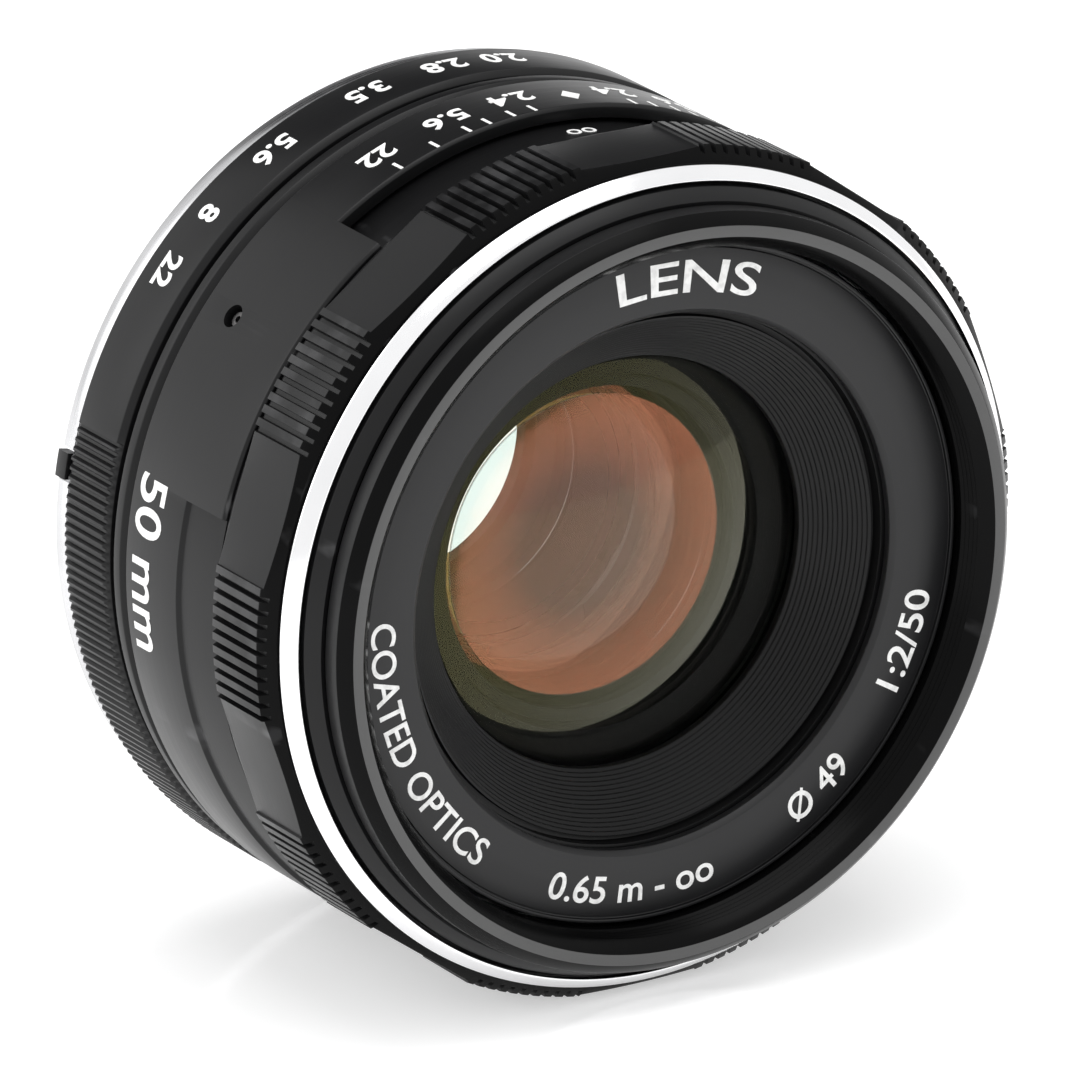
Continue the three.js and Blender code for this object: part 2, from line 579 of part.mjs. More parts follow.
function buildBlades() {
  bladeAngles.forEach((angle, i) => {
    const low = IRIS.blades + BLADE.pitch * i;
    const top = low + BLADE.thick;
    const blade = solid(plate(shapeOf(bladeOutline()), low, top));
    const [dx, dy] = drivePin(0);
    const driveAngle = THREE.MathUtils.radToDeg(Math.atan2(dy, dx));
    const pins = [
      solid(rod(BLADE.pin, 15.1, top - 0.03, BLADE.pivot, 0, 8)),
      solid(rod(BLADE.pin, low + 0.03, 18.3, Math.hypot(dx, dy), driveAngle, 8)),
    ];
    add(`aperture_blade_${i + 1}`, fromSolid(join(blade, pins)).rotateZ(radians(angle)), FINISH.steel);
  });
}

buildMount();
buildRearBaffle();
buildRearHousing();
buildClickStop();
buildApertureRing();
buildBarrel();
buildFocusRing();
buildInnerBarrel();
buildFrontRings();
buildElements();
buildCells();
buildIrisHousing();
buildIrisCam();
buildBlades();

lens.rotation.set(Math.PI / 2, 0, radians(-90 - REST_FLAT));
lens.position.set(0, RIM.front / 2, FOCUS.r * Math.cos(radians(90 / GRIP.bands)));

const lyingLens = new THREE.Group();
lyingLens.add(lens);

export default lyingLens;
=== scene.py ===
"""Looks for a 50 mm f/2 manual-focus lens that lies on its side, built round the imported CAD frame.

Pieces are drawn in millimetres in the lens's own frame: the optical axis is Z from the rear plane of the
bayonet towards the front glass, and angles turn anticlockwise seen from the front. to_world() lays them
on the floor as the CAD does, in metres.
"""

import math

import bmesh
import bpy
import numpy as np
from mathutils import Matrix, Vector


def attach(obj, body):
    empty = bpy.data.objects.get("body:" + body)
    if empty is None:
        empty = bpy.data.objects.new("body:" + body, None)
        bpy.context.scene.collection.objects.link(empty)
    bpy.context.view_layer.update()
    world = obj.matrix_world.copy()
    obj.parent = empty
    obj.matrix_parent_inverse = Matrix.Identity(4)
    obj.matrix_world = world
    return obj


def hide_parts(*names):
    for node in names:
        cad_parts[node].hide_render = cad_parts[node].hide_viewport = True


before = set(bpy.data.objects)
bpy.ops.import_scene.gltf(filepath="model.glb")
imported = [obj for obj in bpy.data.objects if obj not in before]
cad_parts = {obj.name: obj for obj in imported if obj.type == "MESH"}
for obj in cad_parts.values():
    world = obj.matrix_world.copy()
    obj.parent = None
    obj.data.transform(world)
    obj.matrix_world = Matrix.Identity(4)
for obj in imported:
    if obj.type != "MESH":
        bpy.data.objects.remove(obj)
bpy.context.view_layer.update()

# ---------- driving dimensions, mm and degrees, as in the CAD ----------

INDEX = -90  # where the index mark is, as an angle
FLANGE = dict(back=4.6, front=6.0, r=29.4, throat=20.6, tube=22.0, screws=26.2)
MOUNT_SCREWS = dict(count=4, first=45, hole=1.8, floor=5.6, low=4.75)
CLAWS = dict(count=3, first=60, half=24, back=1.4, front=2.8, r=23.3)
TAB = dict(start=84.7, end=88.3, back=4.7, half=0.4, notch=(2.4, 2.36, 4))
DOT = dict(distance=24.4, r=0.8, back=4.45, front=4.7)
APERTURE = dict(back=6.3, front=12.1, r=29.9, bore=27.6)
TRIM = dict(back=12.4, front=14.2, r=29.7)
BARREL = dict(back=14.5, step=15.7, thick=19.5, front=26.3, r=29.9, wall=28.9, bore=24.9)
WINDOW = dict(back=21.0, half=40.3, pad=82.2)
EDGE = 0.05  # how far in degrees a zone of a ring stops short of the next
FOCUS = dict(back=19.8, web=26.6, web_top=28.4, front=33.5, r=30.3, bore=28.9, sleeve=28.6, inner=27.7)
GRIP = dict(bands=10, phase=24.6, step=0.15, ridges=10, groove=0.55)
CHAMFER = dict(start=32.7, slope=1.33, end=33.45)  # focus ring's front; slope is the fall per mm
CHROME = dict(back=33.8, front=34.9, r=29.2, edge=28.45, bore=28.3)
RIM = dict(front=38.4, r=28.0, thread=24.5, skirt=28.5, skirt_back=28.8, skirt_r=27.7, neck=27.0, lip=26.2)
THREAD = dict(pitch=0.5, depth=0.24, lead=0.9)
NAME = dict(back=34.2, front=35.1, r=24.2, bore=19.1, groove=23.75, groove_end=23.95, text_r=21.8)
BAFFLE = dict(bore=14.7, back=30.0, r=18.9, front=33.9, ridges=15, rim=24.2, foot=29.6, foot_r=16.4)
KNURL = dict(start=80.0, pitch=1.32, depth=0.24)
GRUB = dict(first=58, count=3, z=18.4, hole=0.85, r=0.55, socket=0.28)
BLADE = dict(count=8, open=9.7, outer=12.9, thick=0.12, pitch=0.2, low=16.0)

ELEMENTS = [
    dict(name="front_element", front=32.8, front_r=32, back=28.8, back_r=150, edge=15.7),
    dict(name="second_element", front=28.4, front_r=21, back=24.8, back_r=48, edge=12.3),
    dict(name="third_element", front=24.0, front_r=60, back=22.6, back_r=14, edge=11.2, back_clear=9.4),
    dict(name="fourth_element", front=12.6, front_r=-14, back=11.4, back_r=50, edge=9.4, front_clear=8.6),
    dict(name="fifth_element", front=11.1, front_r=50, back=7.3, back_r=-26, edge=9.4),
    dict(name="rear_element", front=6.8, front_r=60, back=3.8, back_r=-45, edge=10.0),
]
FILM = dict(gap=0.04, thick=0.05)
SURFACE_STEPS = 28  # steps from the middle of a glass surface to its edge

REST_FLAT = INDEX + GRIP["phase"] + 4.5 * 360 / GRIP["bands"]
SPIN = math.radians(-90 - REST_FLAT)
AXIS_HEIGHT = FOCUS["r"] * math.cos(math.radians(90 / GRIP["bands"]))
AXIS_PLACE = (0.0, RIM["front"] / 2, AXIS_HEIGHT)

# Scales: each mark and its angle from the index. Then where the rows of marks are and how high a capital is.
F_STOPS = (("2.0", -1), ("2.8", 8), ("3.5", 20), ("5.6", 35.3), ("8", 47.5), ("22", 56.8))
DEPTH_NUMBERS = (("2.4", 8), ("5.6", 18), ("22", 29))
DEPTH_TICKS = (7.8, 11.1, 14.8, 17.9, 23.0, 28.9)
DISTANCES = (
    ("oo", -3.0), ("5", 13.5), ("3", 22.7), ("2", 34.5), ("1.5", 47), ("1", 73), ("0.8", 94), ("0.65", 120),
)
STOP_ROW = dict(z=9.05, cap=1.85, weight=0.07)
DEPTH_ROW = dict(z=17.6, cap=1.85, weight=0.06)
TICK_ROW = dict(z=20.15, width=0.22, height=1.2)
DISTANCE_ROW = dict(z=22.9, cap=1.5, weight=0.01)
FOCAL_MARK = dict(text="50 mm", delta=93.5, z=17.4, cap=3.2, width=12.6, weight=0.06)
DIAMOND = dict(z=18.6, half_width=0.75, half_height=1.0)
NAME_MARKS = (
    dict(text="LENS", delta=0, cap=2.3, width=11.5, outward=True),
    dict(text="COATED OPTICS", delta=120, cap=1.9, width=20.6, outward=False),
    dict(text="0.65 m - oo", delta=-179, cap=1.9, width=13.4, outward=False),
    dict(text="Ø 49", delta=-136.5, cap=2.0, width=5.4, outward=False),
    dict(text="1:2/50", delta=-105, cap=2.0, width=7.2, outward=False),
)
NAME_WEIGHT = 0.03  # how much the name ring's strokes are thickened
PAINT = 0.03  # how far paint stands proud

FINE_ROUND = 480  # columns round the rings at the front
ROUND = 360  # columns round a large ring
SMALL_ROUND = 180  # columns round a ring inside the lens
GLASS_ROUND = 160  # columns round a glass element
CORNER_STEPS = 2  # steps round a softened corner of a section
SHARP = 32  # edges at a greater angle stay crisp
RIB_SHARP = 28  # the same on the two knurled rings
MM = 0.001

scene = bpy.context.scene


def to_world(points):
    """Lens frame in mm to the CAD frame in metres."""
    p = np.asarray(points, float)
    c, s = math.cos(SPIN), math.sin(SPIN)
    x = p[:, 0] * c - p[:, 1] * s
    y = p[:, 0] * s + p[:, 1] * c
    turned = np.column_stack((x, -p[:, 2], y))
    return (turned + np.array(AXIS_PLACE)) * MM


# ---------- camera, floor and lights ----------

VIEW = dict(azimuth=-32.2, elevation=20.0, distance=0.977, focal=480.0, sensor=36.0)
AIM = Vector((-0.0060, -0.0105, 0.0326))
SOFTBOXES = (
    dict(name="left_softbox", azimuth=-118, elevation=26, distance=1.1, width=1.0, height=0.9, radiance=1.6),
    dict(
        name="overhead_softbox", azimuth=0, elevation=89, distance=1.8, width=1.6, height=1.6, radiance=2.2,
    ),
)
FLAG = dict(X=(-0.10, 0.02), Y=(0.42, 0.62), Z=(0.14, 0.26))  # soft edges of the black flag, as directions
FLOOR = dict(radius=6.0, sides=96)  # metres


def direction(azimuth, elevation):
    """Unit vector from the lens to a place round it."""
    a, e = math.radians(azimuth), math.radians(elevation)
    return Vector((math.sin(a) * math.cos(e), -math.cos(a) * math.cos(e), math.sin(e)))


def point_at(obj, place, target):
    obj.location = place
    obj.rotation_euler = (target - place).to_track_quat("-Z", "Y").to_euler()


def add_camera():
    data = bpy.data.cameras.new("camera")
    data.lens = VIEW["focal"]
    data.sensor_width = VIEW["sensor"]
    data.clip_start = 0.01
    data.clip_end = 100
    camera = bpy.data.objects.new("camera", data)
    scene.collection.objects.link(camera)
    point_at(camera, AIM + VIEW["distance"] * direction(VIEW["azimuth"], VIEW["elevation"]), AIM)
    scene.camera = camera


def add_softbox(name, azimuth, elevation, distance, width, height, radiance):
    data = bpy.data.lights.new(name, "AREA")
    data.shape = "RECTANGLE"
    data.size = width
    data.size_y = height
    data.energy = radiance * width * height * math.pi
    light = bpy.data.objects.new(name, data)
    scene.collection.objects.link(light)
    point_at(light, AIM + distance * direction(azimuth, elevation), AIM)


def add_world():
    """A white room with a black flag high up behind the lens on the right, to keep the barrel's top dark."""
    world = bpy.data.worlds.new("studio")
    world.use_nodes = True
    tree = world.node_tree
    split = tree.nodes.new("ShaderNodeSeparateXYZ")
    link(tree, tree.nodes.new("ShaderNodeTexCoord").outputs["Generated"], split.inputs[0])
    behind, high, right = (remap(tree, split.outputs[way], *FLAG[way], 0.0, 1.0) for way in "YZX")
    flag = math_node(tree, "MULTIPLY", math_node(tree, "MULTIPLY", behind, high), right)
    colour = blend_colours(tree, flag, (1.0, 1.0, 1.0), (0.04, 0.04, 0.042))
    link(tree, colour, tree.nodes["Background"].inputs["Color"])
    scene.world = world


# ---------- materials ----------


def link(tree, source, target):
    tree.links.new(source, target)


def math_node(tree, operation, *values):
    node = tree.nodes.new("ShaderNodeMath")
    node.operation = operation
    for socket, value in zip(node.inputs, values):
        if isinstance(value, (int, float)):
            socket.default_value = value
        else:
            link(tree, value, socket)
    return node.outputs[0]


def object_place(tree):
    return tree.nodes.new("ShaderNodeTexCoord").outputs["Object"]


def turned_place(tree):
    """Texture place that is the same all the way round the axis, so that noise read there looks turned."""
    split = tree.nodes.new("ShaderNodeSeparateXYZ")
    link(tree, object_place(tree), split.inputs[0])
    x = math_node(tree, "MULTIPLY", split.outputs["X"], split.outputs["X"])
    height = math_node(tree, "SUBTRACT", split.outputs["Z"], AXIS_HEIGHT * MM)
    radius = math_node(tree, "SQRT", math_node(tree, "MULTIPLY_ADD", height, height, x))
    join = tree.nodes.new("ShaderNodeCombineXYZ")
    link(tree, radius, join.inputs["X"])
    link(tree, split.outputs["Y"], join.inputs["Y"])
    return join.outputs[0]


def noise(tree, place, scale, detail, roughness=0.5):
    node = tree.nodes.new("ShaderNodeTexNoise")
    node.inputs["Scale"].default_value = scale
    node.inputs["Detail"].default_value = detail
    node.inputs["Roughness"].default_value = roughness
    link(tree, place, node.inputs["Vector"])
    return node.outputs["Fac"]


def remap(tree, value, low, high, out_low, out_high):
    node = tree.nodes.new("ShaderNodeMapRange")
    for name, number in (("From Min", low), ("From Max", high), ("To Min", out_low), ("To Max", out_high)):
        node.inputs[name].default_value = number
    link(tree, value, node.inputs["Value"])
    return node.outputs["Result"]


def blend_colours(tree, factor, first, second):
    """Mix of two colours, each a plain colour or another node's output."""
    node = tree.nodes.new("ShaderNodeMix")
    node.data_type = "RGBA"
    for socket, colour in ((node.inputs[6], first), (node.inputs[7], second)):
        if isinstance(colour, tuple):
            socket.default_value = (*colour, 1)
        else:
            link(tree, colour, socket)
    link(tree, factor, node.inputs[0])
    return node.outputs[2]


def bump(tree, shader, height, strength, distance):
    node = tree.nodes.new("ShaderNodeBump")
    node.inputs["Strength"].default_value = strength
    node.inputs["Distance"].default_value = distance * MM
    link(tree, height, node.inputs["Height"])
    link(tree, node.outputs["Normal"], shader.inputs["Normal"])


def new_material(name, **values):
    material = bpy.data.materials.new(name)
    material.use_nodes = True
    tree = material.node_tree
    shader = tree.nodes["Principled BSDF"]
    for key, value in values.items():
        shader.inputs[key.replace("_", " ").title().replace("Ior", "IOR")].default_value = value
    return material, tree, shader


def worn_edges(tree, strength):
    """Near strength on sharp outside edges and 0 elsewhere, broken up so that the wear is uneven."""
    pointy = tree.nodes.new("ShaderNodeNewGeometry").outputs["Pointiness"]
    edge = remap(tree, pointy, 0.53, 0.62, 0.0, 1.0)
    patchy = remap(tree, noise(tree, object_place(tree), 260, 3), 0.48, 0.66, 0.0, 1.0)
    return math_node(tree, "MULTIPLY", math_node(tree, "MULTIPLY", edge, patchy), strength)


RUBBED = (0.16, 0.16, 0.165)  # anodising rubbed pale


def anodised(name, dark, light, roughness, grain=0.05, specular=0.22, wear=0.35):
    """Bead-blasted black anodising: fine grain, faint turned marks, cloudy gloss, edges a little pale."""
    material, tree, shader = new_material(name, specular_ior_level=specular)
    cloud = noise(tree, object_place(tree), 90, 3)
    edges = worn_edges(tree, wear)
    base = blend_colours(tree, cloud, dark, light)
    link(tree, blend_colours(tree, edges, base, RUBBED), shader.inputs["Base Color"])
    turned = noise(tree, turned_place(tree), 5200, 2)
    grit = noise(tree, object_place(tree), 9000, 2)
    gloss = remap(tree, cloud, 0.3, 0.7, roughness - 0.04, roughness + 0.05)
    marks = remap(tree, turned, 0.3, 0.7, -0.02, 0.02)
    link(tree, math_node(tree, "ADD", gloss, marks), shader.inputs["Roughness"])
    bump(tree, shader, math_node(tree, "MULTIPLY_ADD", turned, 0.4, grit), grain, 0.02)
    return material


def turned_metal(name, pale, deep, roughness, scratch=0.06):
    """Metal finished on a lathe: hair lines round the axis, cloudy tarnish and small smears."""
    material, tree, shader = new_material(name, metallic=1.0)
    cloud = noise(tree, object_place(tree), 130, 4)
    tarnish = remap(tree, cloud, 0.35, 0.7, 0, 1)
    link(tree, blend_colours(tree, tarnish, pale, deep), shader.inputs["Base Color"])
    lines = noise(tree, turned_place(tree), 4200, 3, 0.7)
    smear = noise(tree, object_place(tree), 420, 3)
    gloss = remap(tree, lines, 0.3, 0.7, roughness * 0.75, roughness * 1.3)
    smears = remap(tree, smear, 0.45, 0.75, 0.0, 0.04)
    link(tree, math_node(tree, "ADD", gloss, smears), shader.inputs["Roughness"])
    bump(tree, shader, lines, scratch, 0.02)
    return material


def flat_black(name, level):
    """Matt blackening paint that stops stray light: speckled, with a soft nap."""
    material, tree, shader = new_material(name, specular_ior_level=0.25)
    speck = noise(tree, object_place(tree), 6500, 2)
    low = (level, level, level * 1.05)
    high = (level * 2.2, level * 2.2, level * 2.3)
    link(tree, blend_colours(tree, speck, low, high), shader.inputs["Base Color"])
    link(tree, remap(tree, speck, 0.3, 0.7, 0.62, 0.85), shader.inputs["Roughness"])
    bump(tree, shader, speck, 0.03, 0.01)
    return material


def marking_paint(name, colour):
    """Filled engraving: opaque paint with slight thickness changes and pin holes."""
    material, tree, shader = new_material(name, specular_ior_level=0.3)
    patch = noise(tree, object_place(tree), 1800, 3)
    dull = tuple(0.78 * c for c in colour)
    thickness = remap(tree, patch, 0.3, 0.55, 0, 1)
    link(tree, blend_colours(tree, thickness, dull, colour), shader.inputs["Base Color"])
    link(tree, remap(tree, patch, 0.3, 0.7, 0.55, 0.4), shader.inputs["Roughness"])
    bump(tree, shader, patch, 0.12, 0.02)
    return material


def coated_glass(name, tint, sheen, ior, rim_sheen=None, rim=1.0):
    """Optical glass: its coating holds back most of the usual reflection and colours the rest. With a rim
    colour, the thrown-back colour drifts from sheen on the axis to that colour at radius rim, in mm."""
    material, tree, shader = new_material(name, ior=ior, transmission_weight=1.0)
    shader.inputs["Specular Tint"].default_value = (*sheen, 1)
    if rim_sheen:
        split = tree.nodes.new("ShaderNodeSeparateXYZ")
        link(tree, turned_place(tree), split.inputs[0])
        drift = remap(tree, split.outputs["X"], 0.42 * rim * MM, rim * MM, 0.0, 1.0)
        link(tree, blend_colours(tree, drift, sheen, rim_sheen), shader.inputs["Specular Tint"])
    smear = noise(tree, object_place(tree), 160, 3)
    deep = tuple(0.97 * c for c in tint)
    link(tree, blend_colours(tree, smear, deep, tint), shader.inputs["Base Color"])
    link(tree, remap(tree, smear, 0.5, 0.75, 0.0, 0.002), shader.inputs["Roughness"])
    return material


def ground_glass(name, colour):
    """Frosted flat that is left round a hollow surface of an element."""
    material, tree, shader = new_material(name, specular_ior_level=0.5)
    grit = noise(tree, object_place(tree), 7000, 2)
    dull = tuple(0.8 * c for c in colour)
    link(tree, blend_colours(tree, grit, dull, colour), shader.inputs["Base Color"])
    link(tree, remap(tree, grit, 0.3, 0.7, 0.4, 0.55), shader.inputs["Roughness"])
    bump(tree, shader, grit, 0.1, 0.01)
    return material


def floor_material():
    """White sweep, lit a little from within so that it stays white right up to the lens."""
    material, tree, shader = new_material("white_sweep", specular_ior_level=0.6, emission_strength=0.45)
    shader.inputs["Emission Color"].default_value = (1, 1, 1, 1)
    cloud = noise(tree, object_place(tree), 3, 2)
    colour = blend_colours(tree, cloud, (0.80, 0.80, 0.80), (0.84, 0.84, 0.84))
    link(tree, colour, shader.inputs["Base Color"])
    grain = noise(tree, object_place(tree), 600, 2)
    link(tree, remap(tree, grain, 0.3, 0.7, 0.12, 0.18), shader.inputs["Roughness"])
    return material


# Anodised blacks: name, darkest and lightest colour, roughness, grain, specular level, wear of the edges.
# Metals: name, pale and deep colour, roughness, depth of the hair lines.
BLACK = anodised("satin_black_anodised", (0.004, 0.004, 0.0044), (0.008, 0.008, 0.0084), 0.34)
RING_BLACK = anodised("name_ring_black", (0.006, 0.006, 0.0065), (0.011, 0.011, 0.012), 0.42, 0.03, 0.4, 0.0)
FLAT_BLACK = flat_black("matt_cell_black", 0.006)
BAFFLE_BLACK = anodised("baffle_black", (0.003, 0.003, 0.0032), (0.006, 0.006, 0.0062), 0.34, 0.04, 0.2, 0.0)
# Rim black: the rim's own black made darker still, with a weaker reflection, as painted shade for the dark
# surroundings that the rim's forward slopes reflect. The same painted shade goes on the focus ring's front
# chamfer.
RIM_BLACK_AND_PAINTED_SHADE = anodised(
    "gloss_black_rim_and_painted_shade", (0.0012, 0.0012, 0.0013), (0.0025, 0.0025, 0.0026), 0.22, 0.02, 0.07, 0.1,
)
# Lip black: a grey copy of the black anodising, a painted highlight on the filter ring's front face where
# the light falls on it.
LIP_BLACK_AND_PAINTED_HIGHLIGHT = anodised("satin_black_lip_and_painted_highlight", (0.05, 0.05, 0.05), (0.07, 0.07, 0.07), 0.34, 0.04, 0.5, 0.2)
GROUND_GLASS = ground_glass("ground_glass_flat", (0.62, 0.52, 0.50))
CHROME_FINISH = turned_metal("polished_chrome", (0.93, 0.93, 0.94), (0.86, 0.86, 0.87), 0.10, 0.03)
FLANGE_CHROME = turned_metal("satin_chrome_mount", (0.60, 0.60, 0.61), (0.48, 0.48, 0.49), 0.26, 0.10)
STEEL = turned_metal("zinc_plated_steel", (0.60, 0.60, 0.62), (0.45, 0.45, 0.46), 0.30)
BLADE_STEEL = turned_metal("blackened_blade_steel", (0.16, 0.155, 0.155), (0.10, 0.10, 0.10), 0.36)
BRASS = turned_metal("helicoid_brass", (0.72, 0.52, 0.24), (0.55, 0.38, 0.16), 0.28)
ALLOY = turned_metal("machined_alloy", (0.55, 0.56, 0.57), (0.42, 0.42, 0.43), 0.34)
WHITE_PAINT = marking_paint("white_marking_paint", (0.88, 0.88, 0.87))
RED_PAINT = marking_paint("red_marking_paint", (0.55, 0.03, 0.02))

CLEAR_IOR = 1.06  # the elements bend light little, so that the far rings stay in line
GLASS = {
    "front_element": coated_glass("optical_glass_front", (0.99, 1.0, 0.97), (0.3, 0.35, 0.25), CLEAR_IOR),
    "second_element": coated_glass("optical_glass_second", (0.98, 0.98, 0.94), (0.5, 0.5, 0.3), CLEAR_IOR),
    "third_element": coated_glass("optical_glass_third", (1.0, 0.97, 0.94), (0.6, 0.4, 0.3), CLEAR_IOR),
    "fourth_element": coated_glass("optical_glass_fourth", (1.0, 0.98, 0.97), (0.6, 0.4, 0.5), CLEAR_IOR),
    "fifth_element": coated_glass("optical_glass_fifth", (0.99, 0.99, 1.0), (0.4, 0.4, 0.6), CLEAR_IOR),
    "rear_element": coated_glass("optical_glass_rear", (0.99, 0.99, 1.0), (0.4, 0.4, 0.5), CLEAR_IOR),
}
# Coating films: element, zone of the surface, colour thrown back on the axis and at the rim of the zone, and
# refractive index, which is higher for a stronger reflection.
FILMS = (
    dict(on="front_element", zone=(0, 15.5), colour=(0.34, 0.32, 0.12), ior=1.5),
    dict(on="second_element", zone=(0, 10.6), colour=(0.16, 0.10, 0.07), ior=1.4),
    dict(on="second_element", zone=(10.65, 12.2), colour=(0.60, 0.56, 0.14), ior=1.65),
    dict(on="second_element", zone=(0, 10.6), colour=(0.16, 0.06, 0.07), rim=(1.0, 0.25, 0.13), ior=2.0,
         vertex=24.85, radius=-100),  # the cemented face inside this element
    dict(on="third_element", zone=(0, 10.9), colour=(0.40, 0.12, 0.10), rim=(1.0, 0.20, 0.05), ior=1.6),
    dict(on="fifth_element", zone=(0, 9.2), colour=(0.45, 0.24, 0.34), ior=1.5),
    dict(on="rear_element", zone=(0, 9.8), colour=(0.5, 0.32, 0.26), ior=1.45),
)

# ---------- mesh helpers ----------


def rounded(outline, radius=0.08):
    """The closed outline with each corner replaced by a small curve."""
    result = []
    count = len(outline)
    for i in range(count):
        before, corner, after = (Vector(outline[k % count]) for k in (i - 1, i, i + 1))
        back, ahead = before - corner, after - corner
        start = corner + back.normalized() * min(radius, back.length * 0.45)
        end = corner + ahead.normalized() * min(radius, ahead.length * 0.45)
        for k in range(CORNER_STEPS + 1):
            t = k / CORNER_STEPS
            result.append(tuple(start * (1 - t) ** 2 + corner * 2 * t * (1 - t) + end * t ** 2))
    return result


def from_axis(face):
    """Distance in mm of a finished face's centre from the optical axis."""
    return math.hypot(face.center.x, face.center.z - AXIS_HEIGHT * MM) / MM


def polar(r, degrees, z=0.0):
    a = math.radians(degrees)
    return (r * math.cos(a), r * math.sin(a), z)


def spaced(count, first=0):
    """Angles spaced evenly all the way round."""
    return [first + 360 * i / count for i in range(count)]


def finish_mesh(name, points, faces, material, sharp=SHARP):
    mesh = bpy.data.meshes.new(name)
    mesh.from_pydata(to_world(points).tolist(), [], [tuple(int(i) for i in f) for f in faces])
    work = bmesh.new()
    work.from_mesh(mesh)
    bmesh.ops.recalc_face_normals(work, faces=work.faces)
    work.to_mesh(mesh)
    work.free()
    mesh.materials.append(material)
    mesh.shade_smooth()
    mesh.set_sharp_from_angle(angle=math.radians(sharp))
    obj = bpy.data.objects.new(name, mesh)
    scene.collection.objects.link(obj)
    return obj


def place_piece(obj, body, slot, *nodes):
    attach(obj, body)
    if nodes:
        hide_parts(*nodes)


def grid(columns, closed=True):
    """Points and faces of a surface whose columns are closed outlines. If closed, it is a full ring."""
    count = len(columns)
    size = len(columns[0])
    points = np.array(columns, float).reshape(count * size, 3)
    i, j = np.meshgrid(np.arange(count if closed else count - 1), np.arange(size), indexing="ij")
    after, above = (i + 1) % count, (j + 1) % size
    corners = (i * size + j, after * size + j, after * size + above, i * size + above)
    faces = [tuple(q) for q in np.stack(corners, axis=-1).reshape(-1, 4).tolist()]
    if not closed:
        faces.append(tuple(range(size)))
        faces.append(tuple(range((count - 1) * size, count * size)))
    return points, faces


def ring_columns(outline, angles):
    """The (radius, height) outline as a column of points at each angle."""
    return [[polar(r, a, z) for r, z in outline] for a in angles]


def ring(name, outline, material, steps=ROUND, radius=0.08):
    """Ring with a (radius, height) outline whose corners are rounded."""
    points, faces = grid(ring_columns(rounded(outline, radius), spaced(steps)))
    return finish_mesh(name, points, faces, material)


def sector(name, outline, start, end, material, radius, steps=24):
    """The part of such a ring from one angle to another."""
    angles = [start + (end - start) * i / steps for i in range(steps + 1)]
    points, faces = grid(ring_columns(rounded(outline, radius), angles), closed=False)
    return finish_mesh(name, points, faces, material)


def turned_solid(name, profile, material, steps, r=0.0, angle=0.0):
    """Solid of revolution from a profile that starts and ends on its own axis, stood at a polar place."""
    cx, cy, _ = polar(r, angle)
    middle = profile[1:-1]
    points = [(cx, cy, profile[0][1])]
    for turn in spaced(steps):
        for pr, pz in middle:
            x, y, _ = polar(pr, turn)
            points.append((cx + x, cy + y, pz))
    points.append((cx, cy, profile[-1][1]))
    size = len(middle)
    last = len(points) - 1
    faces = []
    for i in range(steps):
        a, b = 1 + i * size, 1 + ((i + 1) % steps) * size
        faces.append((0, b, a))
        faces.extend((a + j, b + j, b + j + 1, a + j + 1) for j in range(size - 1))
        faces.append((a + size - 1, b + size - 1, last))
    return finish_mesh(name, points, faces, material)


def prism_faces(count):
    """Faces of a prism whose points are its two end outlines, each of count points."""
    sides = [(i, (i + 1) % count, count + (i + 1) % count, count + i) for i in range(count)]
    return [*sides, tuple(range(count)), tuple(range(count, 2 * count))]


def radial_rod(name, radius, start, end, angle, z, material, sides=40):
    """Round rod that lies along a radius."""
    points = []
    for distance in (start, end):
        px, py, _ = polar(distance, angle)
        for turn in spaced(sides):
            x, y, _ = polar(radius, turn)
            tx, ty, _ = polar(x, angle + 90)
            points.append((px + tx, py + ty, z + y))
    return finish_mesh(name, points, prism_faces(sides), material)


def block(name, size, centre, angle, material):
    """Box with sides along the radius, round the axis and along it."""
    c, s = math.cos(math.radians(angle)), math.sin(math.radians(angle))
    points = []
    for sx in (-0.5, 0.5):
        for sy in (-0.5, 0.5):
            x, y = sx * size[0], sy * size[1]
            for sz in (-0.5, 0.5):
                z = centre[2] + sz * size[2]
                points.append((centre[0] + x * c - y * s, centre[1] + x * s + y * c, z))
    faces = [(0, 1, 3, 2), (4, 5, 7, 6), (0, 1, 5, 4), (2, 3, 7, 6), (0, 2, 6, 4), (1, 3, 7, 5)]
    return finish_mesh(name, points, faces, material)


def subtract(obj, cutters):
    """Cuts the cutters out of obj's mesh and deletes them."""
    for cutter in cutters:
        modifier = obj.modifiers.new("cut", "BOOLEAN")
        modifier.operation = "DIFFERENCE"
        modifier.object = cutter
        modifier.solver = "EXACT"
    bpy.context.view_layer.update()
    graph = bpy.context.evaluated_depsgraph_get()
    mesh = bpy.data.meshes.new_from_object(obj.evaluated_get(graph))
    obj.modifiers.clear()
    obj.data = mesh
    for cutter in cutters:
        bpy.data.objects.remove(cutter)
    mesh.shade_smooth()
    mesh.set_sharp_from_angle(angle=math.radians(SHARP))


def extruded(name, outline, low, high, material, turn=0.0):
    """Flat plate with an (x, y) outline, turned about the axis."""
    c, s = math.cos(math.radians(turn)), math.sin(math.radians(turn))
    points = [(x * c - y * s, x * s + y * c, z) for z in (low, high) for x, y in outline]
    return finish_mesh(name, points, prism_faces(len(outline)), material)


# ---------- markings ----------

CAP_SHARE = 0.70  # height of a capital in the built-in font at size 1


